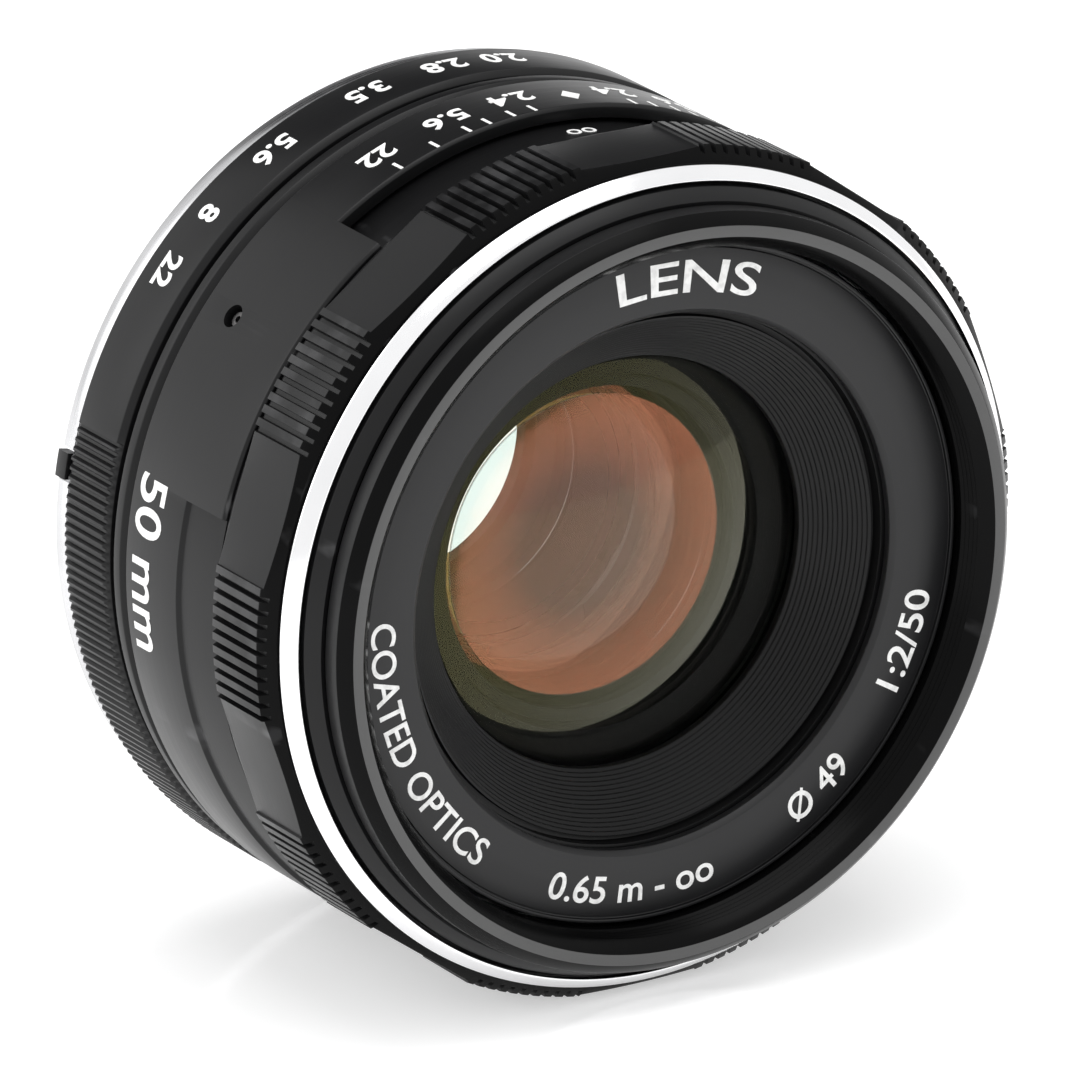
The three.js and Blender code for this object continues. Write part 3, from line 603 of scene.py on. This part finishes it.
def glyph_mesh(text, cap, width, weight):
    """Points and faces of lettering laid flat and centred, with capitals cap high and stretched to width."""
    curve = bpy.data.curves.new("lettering", "FONT")
    curve.body = text
    curve.align_x = "CENTER"
    curve.size = cap / CAP_SHARE
    curve.extrude = PAINT / 2
    curve.offset = weight
    curve.resolution_u = 6
    obj = bpy.data.objects.new("lettering", curve)
    scene.collection.objects.link(obj)
    bpy.context.view_layer.update()
    mesh = bpy.data.meshes.new_from_object(obj.evaluated_get(bpy.context.evaluated_depsgraph_get()))
    points = np.array([v.co for v in mesh.vertices])
    faces = [tuple(p.vertices) for p in mesh.polygons]
    bpy.data.objects.remove(obj)
    bpy.data.curves.remove(curve)
    bpy.data.meshes.remove(mesh)
    points[:, 0] -= (points[:, 0].min() + points[:, 0].max()) / 2
    points[:, 1] -= cap / 2
    if width is not None:
        points[:, 0] *= width / (points[:, 0].max() - points[:, 0].min())
    return points, faces


def on_barrel(points, r, angle, z):
    """Flat points wrapped round a barrel, tops towards the front."""
    a = np.radians(angle) + points[:, 0] / r
    radius = r + points[:, 2] + PAINT / 2
    return np.column_stack((radius * np.cos(a), radius * np.sin(a), z + points[:, 1]))


def on_face(points, r, angle, z, outward):
    """Flat points bent round a front face, tops away from the axis or towards it."""
    way = 1 if outward else -1
    a = np.radians(angle) - way * points[:, 0] / r
    radius = r + way * points[:, 1]
    return np.column_stack((radius * np.cos(a), radius * np.sin(a), z + points[:, 2] + PAINT / 2))


def painted(name, placed, body, slot):
    """One white piece from several (points, faces) pairs."""
    points, faces, start = [], [], 0
    for part_points, part_faces in placed:
        points.append(part_points)
        faces.extend(tuple(i + start for i in f) for f in part_faces)
        start += len(part_points)
    place_piece(finish_mesh(name, np.vstack(points), faces, WHITE_PAINT), body, slot)


def flat_outline(outline):
    """Points and faces of a thin flat plate with that outline, for a painted mark."""
    points = np.array([(x, y, z) for z in (-PAINT / 2, PAINT / 2) for x, y in outline])
    return points, prism_faces(len(outline))


def barrel_text(text, r, delta, z, cap, weight, width=None):
    """Lettering on a barrel, delta round from the index."""
    points, faces = glyph_mesh(text, cap, width, weight)
    return on_barrel(points, r, INDEX + delta, z), faces


def barrel_bar(r, delta, z, width, height):
    """Bar along a barrel, delta round from the index."""
    x, y = width / 2, height / 2
    points, faces = flat_outline([(-x, -y), (x, -y), (x, y), (-x, y)])
    return on_barrel(points, r, INDEX + delta, z), faces


# ---------- rear: mount and baffle ----------


def build_mount():
    build_flange()
    build_claws()
    build_index_tab()
    for number, angle in enumerate(spaced(MOUNT_SCREWS["count"], MOUNT_SCREWS["first"]), 1):
        build_mount_screw(number, angle)
    r, back, front = DOT["r"], DOT["back"], DOT["front"]
    profile = [(0, back), (r - 0.05, back), (r, back + 0.05), (r, front), (0, front)]
    dot = turned_solid("mount_index_dot", profile, RED_PAINT, 40, DOT["distance"], INDEX)
    place_piece(dot, "barrel", "chrome")


def build_flange():
    f, screws = FLANGE, MOUNT_SCREWS
    outline = [
        (f["throat"], 0), (f["tube"], 0), (f["tube"], f["back"]), (f["r"], f["back"]),
        (f["r"], f["front"]), (f["throat"], f["front"]),
    ]
    flange = ring("mount_flange_fine", outline, FLANGE_CHROME, radius=0.15)
    notch = INDEX + (TAB["start"] + TAB["end"]) / 2
    notch_place = polar(f["r"] + 0.5, notch, f["back"] + 0.4)
    cutters = [block("notch", TAB["notch"], notch_place, notch, FLANGE_CHROME)]
    low, high, hole = f["back"] - 1, screws["floor"], screws["hole"]
    outline = [(0, low), (hole, low), (hole, high), (0, high)]
    for angle in spaced(screws["count"], screws["first"]):
        cutters.append(turned_solid("hole", outline, FLANGE_CHROME, 48, f["screws"], angle))
    subtract(flange, cutters)
    place_piece(flange, "barrel", "chrome", "mount_flange")


def build_claws():
    root, back, front, tip = FLANGE["tube"] - 0.4, CLAWS["back"], CLAWS["front"], CLAWS["r"]
    claw = [(root, back), (tip, back), (tip, front), (root, front)]
    for number, middle in enumerate(spaced(CLAWS["count"], CLAWS["first"]), 1):
        start, end = middle - CLAWS["half"], middle + CLAWS["half"]
        piece = sector(f"bayonet_claw_{number}", claw, start, end, FLANGE_CHROME, 0.2)
        place_piece(piece, "barrel", "chrome")


def build_index_tab():
    low, high = FLANGE["r"] - TAB["half"], FLANGE["r"] + TAB["half"]
    tab = [(low, TAB["back"]), (high, TAB["back"]), (high, FLANGE["front"]), (low, FLANGE["front"])]
    piece = sector("mount_index_tab_fine", tab, INDEX + TAB["start"], INDEX + TAB["end"], BLACK, 0.12, 6)
    place_piece(piece, "barrel", "black_anodised", "mount_index_tab")


def build_mount_screw(number, angle):
    """Countersunk screw with a cross recess."""
    low = MOUNT_SCREWS["low"]
    head = [(0, low + 0.02), (1.0, low), (1.38, low + 0.06), (1.5, low + 0.2), (1.2, 5.3)]
    shank = [(0.75, 5.5), (0.75, 9.0), (0, 9.0)]
    screw = turned_solid(f"mount_screw_{number}_fine", head + shank, STEEL, 48, FLANGE["screws"], angle)
    place = polar(FLANGE["screws"], angle, low)
    arms = [block("arm", (1.7, 0.36, 0.7), place, angle + turn, STEEL) for turn in (20, 110)]
    subtract(screw, arms)
    place_piece(screw, "barrel", "steel", f"mount_screw_{number}")


def rounded_rectangle(width, height, radius, steps):
    """Outline of a rectangle about the axis with rounded corners."""
    points = []
    for i, (sx, sy) in enumerate(((1, 1), (-1, 1), (-1, -1), (1, -1))):
        cx, cy = sx * (width / 2 - radius), sy * (height / 2 - radius)
        for k in range(steps + 1):
            x, y, _ = polar(radius, 90 * i + 90 * k / steps)
            points.append((cx + x, cy + y))
    return points


def build_rear_baffle():
    cup = [(18.0, 0.6), (20.3, 0.6), (20.3, 4.2), (19.3, 4.2), (19.3, 1.6), (18.0, 1.6)]
    place_piece(ring("rear_baffle_cup", cup, FLAT_BLACK, radius=0.15), "barrel", "flat_black", "rear_baffle")
    circle = [polar(18.3, angle)[:2] for angle in spaced(120)]
    disc = extruded("rear_baffle_plate", circle, 0.65, 1.55, FLAT_BLACK)
    subtract(disc, [extruded("window", rounded_rectangle(25, 18, 1.2, 8), 0, 2.5, FLAT_BLACK)])
    place_piece(disc, "barrel", "flat_black")


# ---------- aperture ring and trim ring ----------


def knurl_columns():
    """Angles and groove depths round the aperture ring, which is smooth under its numbers."""
    columns = [(a, 0.0) for a in np.arange(-KNURL["start"], KNURL["start"] + 0.01, 1.0)]
    ridges = round((360 - 2 * KNURL["start"]) / KNURL["pitch"])
    pitch = (360 - 2 * KNURL["start"]) / ridges
    for i in range(ridges):
        start = KNURL["start"] + i * pitch
        for part, depth in ((0.10, 1.0), (0.40, 1.0), (0.62, 0.0), (0.88, 0.0)):
            columns.append((start + part * pitch, depth))
    return columns


def aperture_outline(depth):
    """Outline of the aperture ring, with a groove of the knurl if depth is 1."""
    p = APERTURE
    r = p["r"] - depth * KNURL["depth"]
    return rounded([
        (p["bore"], p["back"]), (p["r"] - 0.35, p["back"]), (r, p["back"] + 0.35), (r, p["front"] - 0.4),
        (p["r"] - 0.4, p["front"]), (p["bore"], p["front"]),
    ])


def build_aperture_ring():
    columns = [[polar(r, INDEX + a, z) for r, z in aperture_outline(depth)] for a, depth in knurl_columns()]
    points, faces = grid(columns)
    piece = finish_mesh("aperture_ring_fine", points, faces, BLACK, RIB_SHARP)
    place_piece(piece, "aperture_ring", "black_anodised", "aperture_ring")
    marks = [barrel_text(text, APERTURE["r"], delta, **STOP_ROW) for text, delta in F_STOPS]
    painted("aperture_numbers", marks, "aperture_ring", "black_anodised")


def build_trim_ring():
    back, front, r = TRIM["back"], TRIM["front"], TRIM["r"]
    outline = [
        (BARREL["bore"], back), (r - 0.5, back), (r, back + 0.5), (r, front - 0.5),
        (r - 0.5, front), (BARREL["bore"], front),
    ]
    place_piece(ring("trim_ring_fine", outline, BLACK), "barrel", "black_anodised", "trim_ring")


# ---------- main barrel ----------


def barrel_outline(zone):
    """Outline of the barrel's wall: a full pad, the low edge under the distance window, or the sunk side."""
    b = BARREL
    top = WINDOW["back"] if zone == "window" else b["front"]
    if zone == "sunk":
        outer = [(b["r"], WINDOW["back"] + 0.5), (b["r"] - 0.3, WINDOW["back"] + 0.75), (b["r"] - 0.3, top)]
    else:
        outer = [(b["r"], top - 0.45), (b["r"], top - 0.2), (b["r"] - 0.2, top)]
    return rounded([
        (b["bore"], b["back"]), (b["r"] - 0.4, b["back"]), (b["r"], b["back"] + 0.4), *outer,
        (b["wall"], top), (b["wall"], b["thick"]), (FOCUS["inner"], b["thick"]),
        (FOCUS["inner"], b["step"]), (b["bore"], b["step"]),
    ], 0.06)


def barrel_columns():
    window, pad = WINDOW["half"], WINDOW["pad"]
    zones = [
        (-window, window, "window"), (window, pad, "pad"),
        (pad, 360 - pad, "sunk"), (360 - pad, 360 - window, "pad"),
    ]
    columns = []
    for start, end, zone in zones:
        steps = max(2, round(end - start))
        outline = barrel_outline(zone)
        for a in np.linspace(start + EDGE, end - EDGE, steps + 1):
            columns.append([polar(r, INDEX + a, z) for r, z in outline])
    return columns


def build_barrel():
    points, faces = grid(barrel_columns())
    shell = finish_mesh("main_barrel_fine", points, faces, BLACK)
    g = GRUB
    angles = spaced(g["count"], INDEX + g["first"])
    subtract(shell, [radial_rod("hole", g["hole"], 28.2, 31, angle, g["z"], BLACK) for angle in angles])
    place_piece(shell, "barrel", "black_anodised", "main_barrel")
    for number, angle in enumerate(angles, 1):
        screw = radial_rod(f"grub_screw_{number}_fine", g["r"], 27.9, 29.4, angle, g["z"], BLADE_STEEL)
        subtract(screw, [radial_rod("socket", g["socket"], 28.8, 30, angle, g["z"], BLADE_STEEL, 6)])
        place_piece(screw, "barrel", "steel", f"grub_screw_{number}")


def build_depth_scale():
    r = BARREL["r"]
    x, y = DIAMOND["half_width"], DIAMOND["half_height"]
    points, faces = flat_outline([(0, -y), (x, 0), (0, y), (-x, 0)])
    marks = [(on_barrel(points, r, INDEX, DIAMOND["z"]), faces)]
    for side in (-1, 1):
        marks.extend(barrel_text(text, r, side * delta, **DEPTH_ROW) for text, delta in DEPTH_NUMBERS)
        marks.extend(barrel_bar(r, side * delta, **TICK_ROW) for delta in DEPTH_TICKS)
    painted("depth_scale", marks, "barrel", "black_anodised")
    painted("focal_length_mark", [barrel_text(r=r, **FOCAL_MARK)], "barrel", "black_anodised")


# ---------- focus ring ----------


def grip_columns():
    """Angle from the middle of the first knurled band, surface radius there, and how far grooves cut in."""
    pitch = 360 / GRIP["bands"]
    half = pitch / 4
    ridge = 2 * half / GRIP["ridges"]
    chord = FOCUS["r"] * math.cos(math.radians(half))
    columns = []
    for band in range(GRIP["bands"]):
        start = band * pitch - half
        for i in range(GRIP["ridges"]):
            for part, depth in ((0.0, 0.0), (0.56, 0.0), (0.62, 1.0), (0.94, 1.0)):
                columns.append((start + (i + part) * ridge, FOCUS["r"], depth))
        columns.append((start + 2 * half, FOCUS["r"], 0.0))
        for a in np.linspace(start + 2 * half + EDGE, start + pitch - EDGE, 25):
            from_flat = a - (band + 0.5) * pitch
            columns.append((a, chord / math.cos(math.radians(from_flat)) - GRIP["step"], 0.0))
    return columns


def grip_outline(r, depth):
    """Outline of the focus ring where its surface has radius r, with a groove if depth is 1."""
    f = FOCUS
    floor_r = r - depth * GRIP["groove"]
    cut = min(CHAMFER["start"] + (f["r"] - floor_r) / CHAMFER["slope"], CHAMFER["end"] - 0.1)
    end_r = min(floor_r, f["r"] - CHAMFER["slope"] * (CHAMFER["end"] - CHAMFER["start"]))
    return rounded([
        (f["inner"], f["back"]), (f["sleeve"], f["back"]), (f["sleeve"], f["web"]), (29.7, f["web"]),
        (floor_r, f["web"] + 0.35), (floor_r, cut), (end_r, CHAMFER["end"]), (29.2, f["front"]),
        (f["bore"], f["front"]), (f["bore"], f["web_top"]), (f["inner"], f["web_top"]),
    ], 0.05)


def build_focus_ring():
    zero = INDEX + GRIP["phase"]
    columns = [[polar(x, zero + a, z) for x, z in grip_outline(r, depth)] for a, r, depth in grip_columns()]
    points, faces = grid(columns)
    piece = finish_mesh("focus_ring_fine", points, faces, BLACK, RIB_SHARP)
    # Faces of the front chamfer get the darker rim black: painted shade where the chamfer falls in shade.
    piece.data.materials.append(RIM_BLACK_AND_PAINTED_SHADE)
    for face in piece.data.polygons:
        height = AXIS_PLACE[1] - face.center.y / MM
        if height > CHAMFER["start"] - 0.1 and -0.99 < face.normal.y < -0.12:
            face.material_index = 1
    place_piece(piece, "focus_ring", "black_anodised", "focus_ring")
    marks = [barrel_text(text, FOCUS["sleeve"], -turn, **DISTANCE_ROW) for text, turn in DISTANCES]
    painted("distance_numbers", marks, "focus_ring", "black_anodised")


# ---------- front rings ----------


def thread_outline():
    """Filter thread as fine V grooves, from the lead-in chamfer down."""
    points = []
    z = RIM["front"] - THREAD["lead"]
    while z > NAME["front"] + 0.4:
        points.append((RIM["thread"], z))
        points.append((RIM["thread"] + THREAD["depth"], z - THREAD["pitch"] / 2))
        z -= THREAD["pitch"]
    points.append((RIM["thread"], z))
    return points


def build_filter_ring():
    r = RIM
    skirt = [
        (r["thread"], 33.7), (r["skirt_r"], 33.7), (r["skirt_r"], r["skirt_back"]),
        (r["skirt"], r["skirt_back"]), (r["skirt"], 33.5), (r["r"], 33.5),
    ]
    nose = [
        (r["r"], 35.0), (27.2, 35.9), (r["neck"] - 0.2, 35.8), (r["neck"], 36.1), (r["neck"], 37.5),
        (r["lip"], r["front"]), (25.4, r["front"]),
    ]
    piece = ring("filter_ring_fine", [*skirt, *nose, *thread_outline()], RIM_BLACK_AND_PAINTED_SHADE, FINE_ROUND, 0.06)
    # Outer walls get the satin black. Forward-facing faces inside the lip get the lighter lip black, a
    # painted highlight, and the rest keeps the darker rim black, a painted shade.
    piece.data.materials.append(BLACK)
    piece.data.materials.append(LIP_BLACK_AND_PAINTED_HIGHLIGHT)
    for face in piece.data.polygons:
        if from_axis(face) > r["neck"] - 0.02:
            face.material_index = 1
        elif from_axis(face) < r["lip"] and face.normal.y < -0.9:
            face.material_index = 2
    place_piece(piece, "optical_unit", "black_anodised", "filter_ring")


def build_front_rings():
    build_filter_ring()
    c = CHROME
    outline = [
        (c["bore"], c["back"]), (c["r"], c["back"]), (c["r"], c["back"] + 0.15), (c["edge"], c["front"]),
        (c["bore"], c["front"]),
    ]
    piece = ring("chrome_trim_ring_fine", outline, CHROME_FINISH, FINE_ROUND, 0.06)
    place_piece(piece, "optical_unit", "chrome", "chrome_trim_ring")
    n = NAME
    groove_floor = n["front"] - 0.25
    outline = [
        (n["bore"], n["back"]), (n["r"], n["back"]), (n["r"], n["front"]), (n["groove_end"], n["front"]),
        (n["groove_end"], groove_floor), (n["groove"], groove_floor), (n["groove"], n["front"]),
        (n["bore"] + 0.35, n["front"]), (n["bore"], n["front"] - 0.35),
    ]
    piece = ring("name_ring_fine", outline, RING_BLACK, FINE_ROUND, 0.05)
    place_piece(piece, "optical_unit", "name_ring_black", "name_ring")


def ridged(start, end, ridges):
    """Saw-tooth steps along a slope: each step rises along the axis, then runs outwards."""
    (r0, z0), (r1, z1) = start, end
    points = []
    for i in range(ridges):
        points.append((r0 + (r1 - r0) * i / ridges, z0 + (z1 - z0) * i / ridges))
        points.append((r0 + (r1 - r0) * (i + 0.15) / ridges, z0 + (z1 - z0) * (i + 0.55) / ridges))
    points.append((r1, z1))
    return points


def build_front_baffle():
    b = BAFFLE
    slope = ridged((b["bore"], b["back"]), (b["r"] - 0.45, b["front"] - 0.4), b["ridges"])
    groove = [(b["r"] - 0.4, b["front"] - 0.9), (b["r"], b["front"] - 0.9)]
    plate = [
        (b["r"] + 0.05, b["front"]), (b["rim"], b["front"]), (b["rim"], 33.0),
        (19.4, 32.8), (b["foot_r"], 31.0), (b["foot_r"], b["foot"]),
    ]
    outline = [(b["bore"], b["foot"]), *slope, *groove, *plate]
    piece = ring("front_baffle_fine", outline, BAFFLE_BLACK, radius=0.03)
    place_piece(piece, "optical_unit", "flat_black", "front_baffle")


def build_name_ring_text():
    placed = []
    for mark in NAME_MARKS:
        points, faces = glyph_mesh(mark["text"], mark["cap"], mark["width"], NAME_WEIGHT)
        angle = INDEX + mark["delta"]
        placed.append((on_face(points, NAME["text_r"], angle, NAME["front"], mark["outward"]), faces))
    painted("name_ring_marks", placed, "optical_unit", "name_ring_black")


# ---------- glass and its cells ----------


def dome(vertex, radius, start, end):
    """(radius, height) points across part of a spherical surface, hollow if its radius is negative."""
    points = []
    for i in range(SURFACE_STEPS + 1):
        r = start + (end - start) * i / SURFACE_STEPS
        sag = abs(radius) - math.sqrt(radius * radius - r * r)
        points.append((r, vertex - math.copysign(sag, radius)))
    return points


def surface(vertex, radius, clear, edge):
    """A dome out to clear, then flat out to the element's edge."""
    points = dome(vertex, radius, 0, clear)
    if clear < edge:
        points.append((edge, points[-1][1]))
    return points


def build_elements():
    for e in ELEMENTS:
        face = surface(e["front"], e["front_r"], e.get("front_clear", e["edge"]), e["edge"])
        rear = surface(e["back"], e["back_r"], e.get("back_clear", e["edge"]), e["edge"])
        obj = turned_solid(f"{e['name']}_fine", [*rear, *reversed(face)], GLASS[e["name"]], GLASS_ROUND)
        obj.data.materials.append(FLAT_BLACK)
        blacken_edge(obj, e["edge"])
        place_piece(obj, "optical_unit", "coated_glass", e["name"])
        if "front_clear" in e:
            obj.data.materials.append(GROUND_GLASS)
            frost_flat(obj, e["front_clear"])
    for number, film in enumerate(FILMS, 1):
        build_film(number, film)


def build_film(number, film):
    """Thin coating just in front of a glass surface, which sends back coloured light and bends none."""
    e = next(one for one in ELEMENTS if one["name"] == film["on"])
    start, end = film["zone"]
    curve = dome(film.get("vertex", e["front"]), film.get("radius", e["front_r"]), start, end)
    low = [(r, z + FILM["gap"]) for r, z in curve]
    high = [(r, z + FILM["thick"]) for r, z in low]
    outline = [*low, *reversed(high)]
    glass = f"coating_{number}_glass"
    material = coated_glass(glass, (1, 1, 1), film["colour"], film["ior"], film.get("rim"), end)
    name = f"{film['on']}_coating_{number}"
    if start == 0:
        piece = turned_solid(name, outline, material, GLASS_ROUND)
    else:
        points, faces = grid(ring_columns(outline, spaced(SMALL_ROUND)))
        piece = finish_mesh(name, points, faces, material)
    place_piece(piece, "optical_unit", "coated_glass")


def frost_flat(obj, clear):
    """Ground flat ring round a hollow front surface."""
    for face in obj.data.polygons:
        if from_axis(face) > clear and face.normal.y < -0.9:
            face.material_index = 2


def blacken_edge(obj, edge):
    """Ground rim of an element: matt black, so that no light comes through the side."""
    for face in obj.data.polygons:
        if from_axis(face) > edge - 0.1 and abs(face.normal.y) < 0.2:
            face.material_index = 1


def build_cells():
    front_cell = [
        (9.9, 18.0), (12.8, 18.0), (12.8, 22.2), (13.9, 22.2), (13.9, 26.3), (23.8, 26.3),
        (23.8, 27.3), (17.4, 27.3), (17.4, 29.3), (16.0, 29.3), (16.0, 27.6), (12.6, 27.6),
        (12.6, 22.9), (11.5, 22.9), (11.5, 18.68), (9.9, 18.68),
    ]
    rear_cell = [
        (10.3, 3.0), (11.6, 3.0), (11.6, 13.6), (16.5, 13.6), (16.5, 14.6), (9.7, 14.6),
        (9.7, 8.5), (8.9, 8.5), (8.9, 6.5), (10.3, 6.5),
    ]
    cells = (
        ("front_cell", front_cell),
        ("rear_cell", rear_cell),
        ("second_element_ring", [(11.4, 25.6), (12.3, 24.8), (12.3, 26.4), (11.4, 26.4)]),
        ("rear_retaining_ring", [(9.0, 3.1), (10.0, 3.1), (10.0, 4.3), (9.0, 4.3)]),
        ("iris_cover", [(13.1, 18.9), (21.0, 18.9), (21.0, 19.7), (13.1, 19.7)]),
    )
    for node, outline in cells:
        piece = ring(f"{node}_fine", outline, FLAT_BLACK, SMALL_ROUND, 0.06)
        place_piece(piece, "optical_unit", "flat_black", node)


# ---------- iris ----------


def arc(r, start, end, steps):
    """Flat (x, y) points along an arc about the axis."""
    return [polar(r, start + (end - start) * i / steps)[:2] for i in range(steps + 1)]


def blade_outline():
    """Blade for a pivot at angle 0, with an ear for its pivot and drive pins."""
    ear = ((15.3, 5), (15.4, -4), (15.5, -12), (15.2, -16.5), (14.1, -16.5), (12.9, -10))
    return [
        *arc(BLADE["open"], -4, 112, 60), polar(11.3, 114)[:2], *arc(BLADE["outer"], 112, 12, 50),
        *(polar(r, angle)[:2] for r, angle in ear),
    ]


def build_blades():
    for i, angle in enumerate(spaced(BLADE["count"], INDEX)):
        low = BLADE["low"] + BLADE["pitch"] * i
        high = low + BLADE["thick"]
        plate = extruded(f"aperture_blade_{i + 1}_fine", blade_outline(), low, high, BLADE_STEEL, angle)
        place_piece(plate, f"blade_{i + 1}", "blade_steel", f"aperture_blade_{i + 1}")


# ---------- carried-over CAD pieces ----------

CAD_FINISH = {
    "rear_housing": ALLOY, "inner_barrel": ALLOY, "focus_helicoid": BRASS, "guide_key": BRASS,
    "iris_cam_ring": BRASS, "focus_stop_pin": STEEL, "click_ball": STEEL, "click_spring": STEEL,
    "barrel_screw": STEEL, "cell_screw": STEEL, "iris_screw": STEEL, "aperture_lever": STEEL,
    "iris_housing": FLAT_BLACK,
}


def finish_cad_nodes():
    """Gives a finish to the CAD nodes whose names start as above."""
    for name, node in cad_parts.items():
        for prefix, material in CAD_FINISH.items():
            if name.startswith(prefix):
                node.data.materials.clear()
                node.data.materials.append(material)


# ---------- stage ----------


def add_floor():
    points = [polar(FLOOR["radius"], angle) for angle in spaced(FLOOR["sides"])]
    mesh = bpy.data.meshes.new("floor")
    mesh.from_pydata(points, [], [tuple(range(len(points)))])
    mesh.materials.append(floor_material())
    floor = bpy.data.objects.new("floor", mesh)
    scene.collection.objects.link(floor)


add_camera()
add_world()
add_floor()
for softbox in SOFTBOXES:
    add_softbox(**softbox)
build_mount()
build_rear_baffle()
build_aperture_ring()
build_trim_ring()
build_barrel()
build_depth_scale()
build_focus_ring()
build_front_rings()
build_front_baffle()
build_name_ring_text()
build_elements()
build_cells()
build_blades()
finish_cad_nodes()

scene.view_settings.view_transform = "Standard"
scene.cycles.max_bounces = 24
scene.cycles.transmission_bounces = 24
scene.cycles.caustics_refractive = True
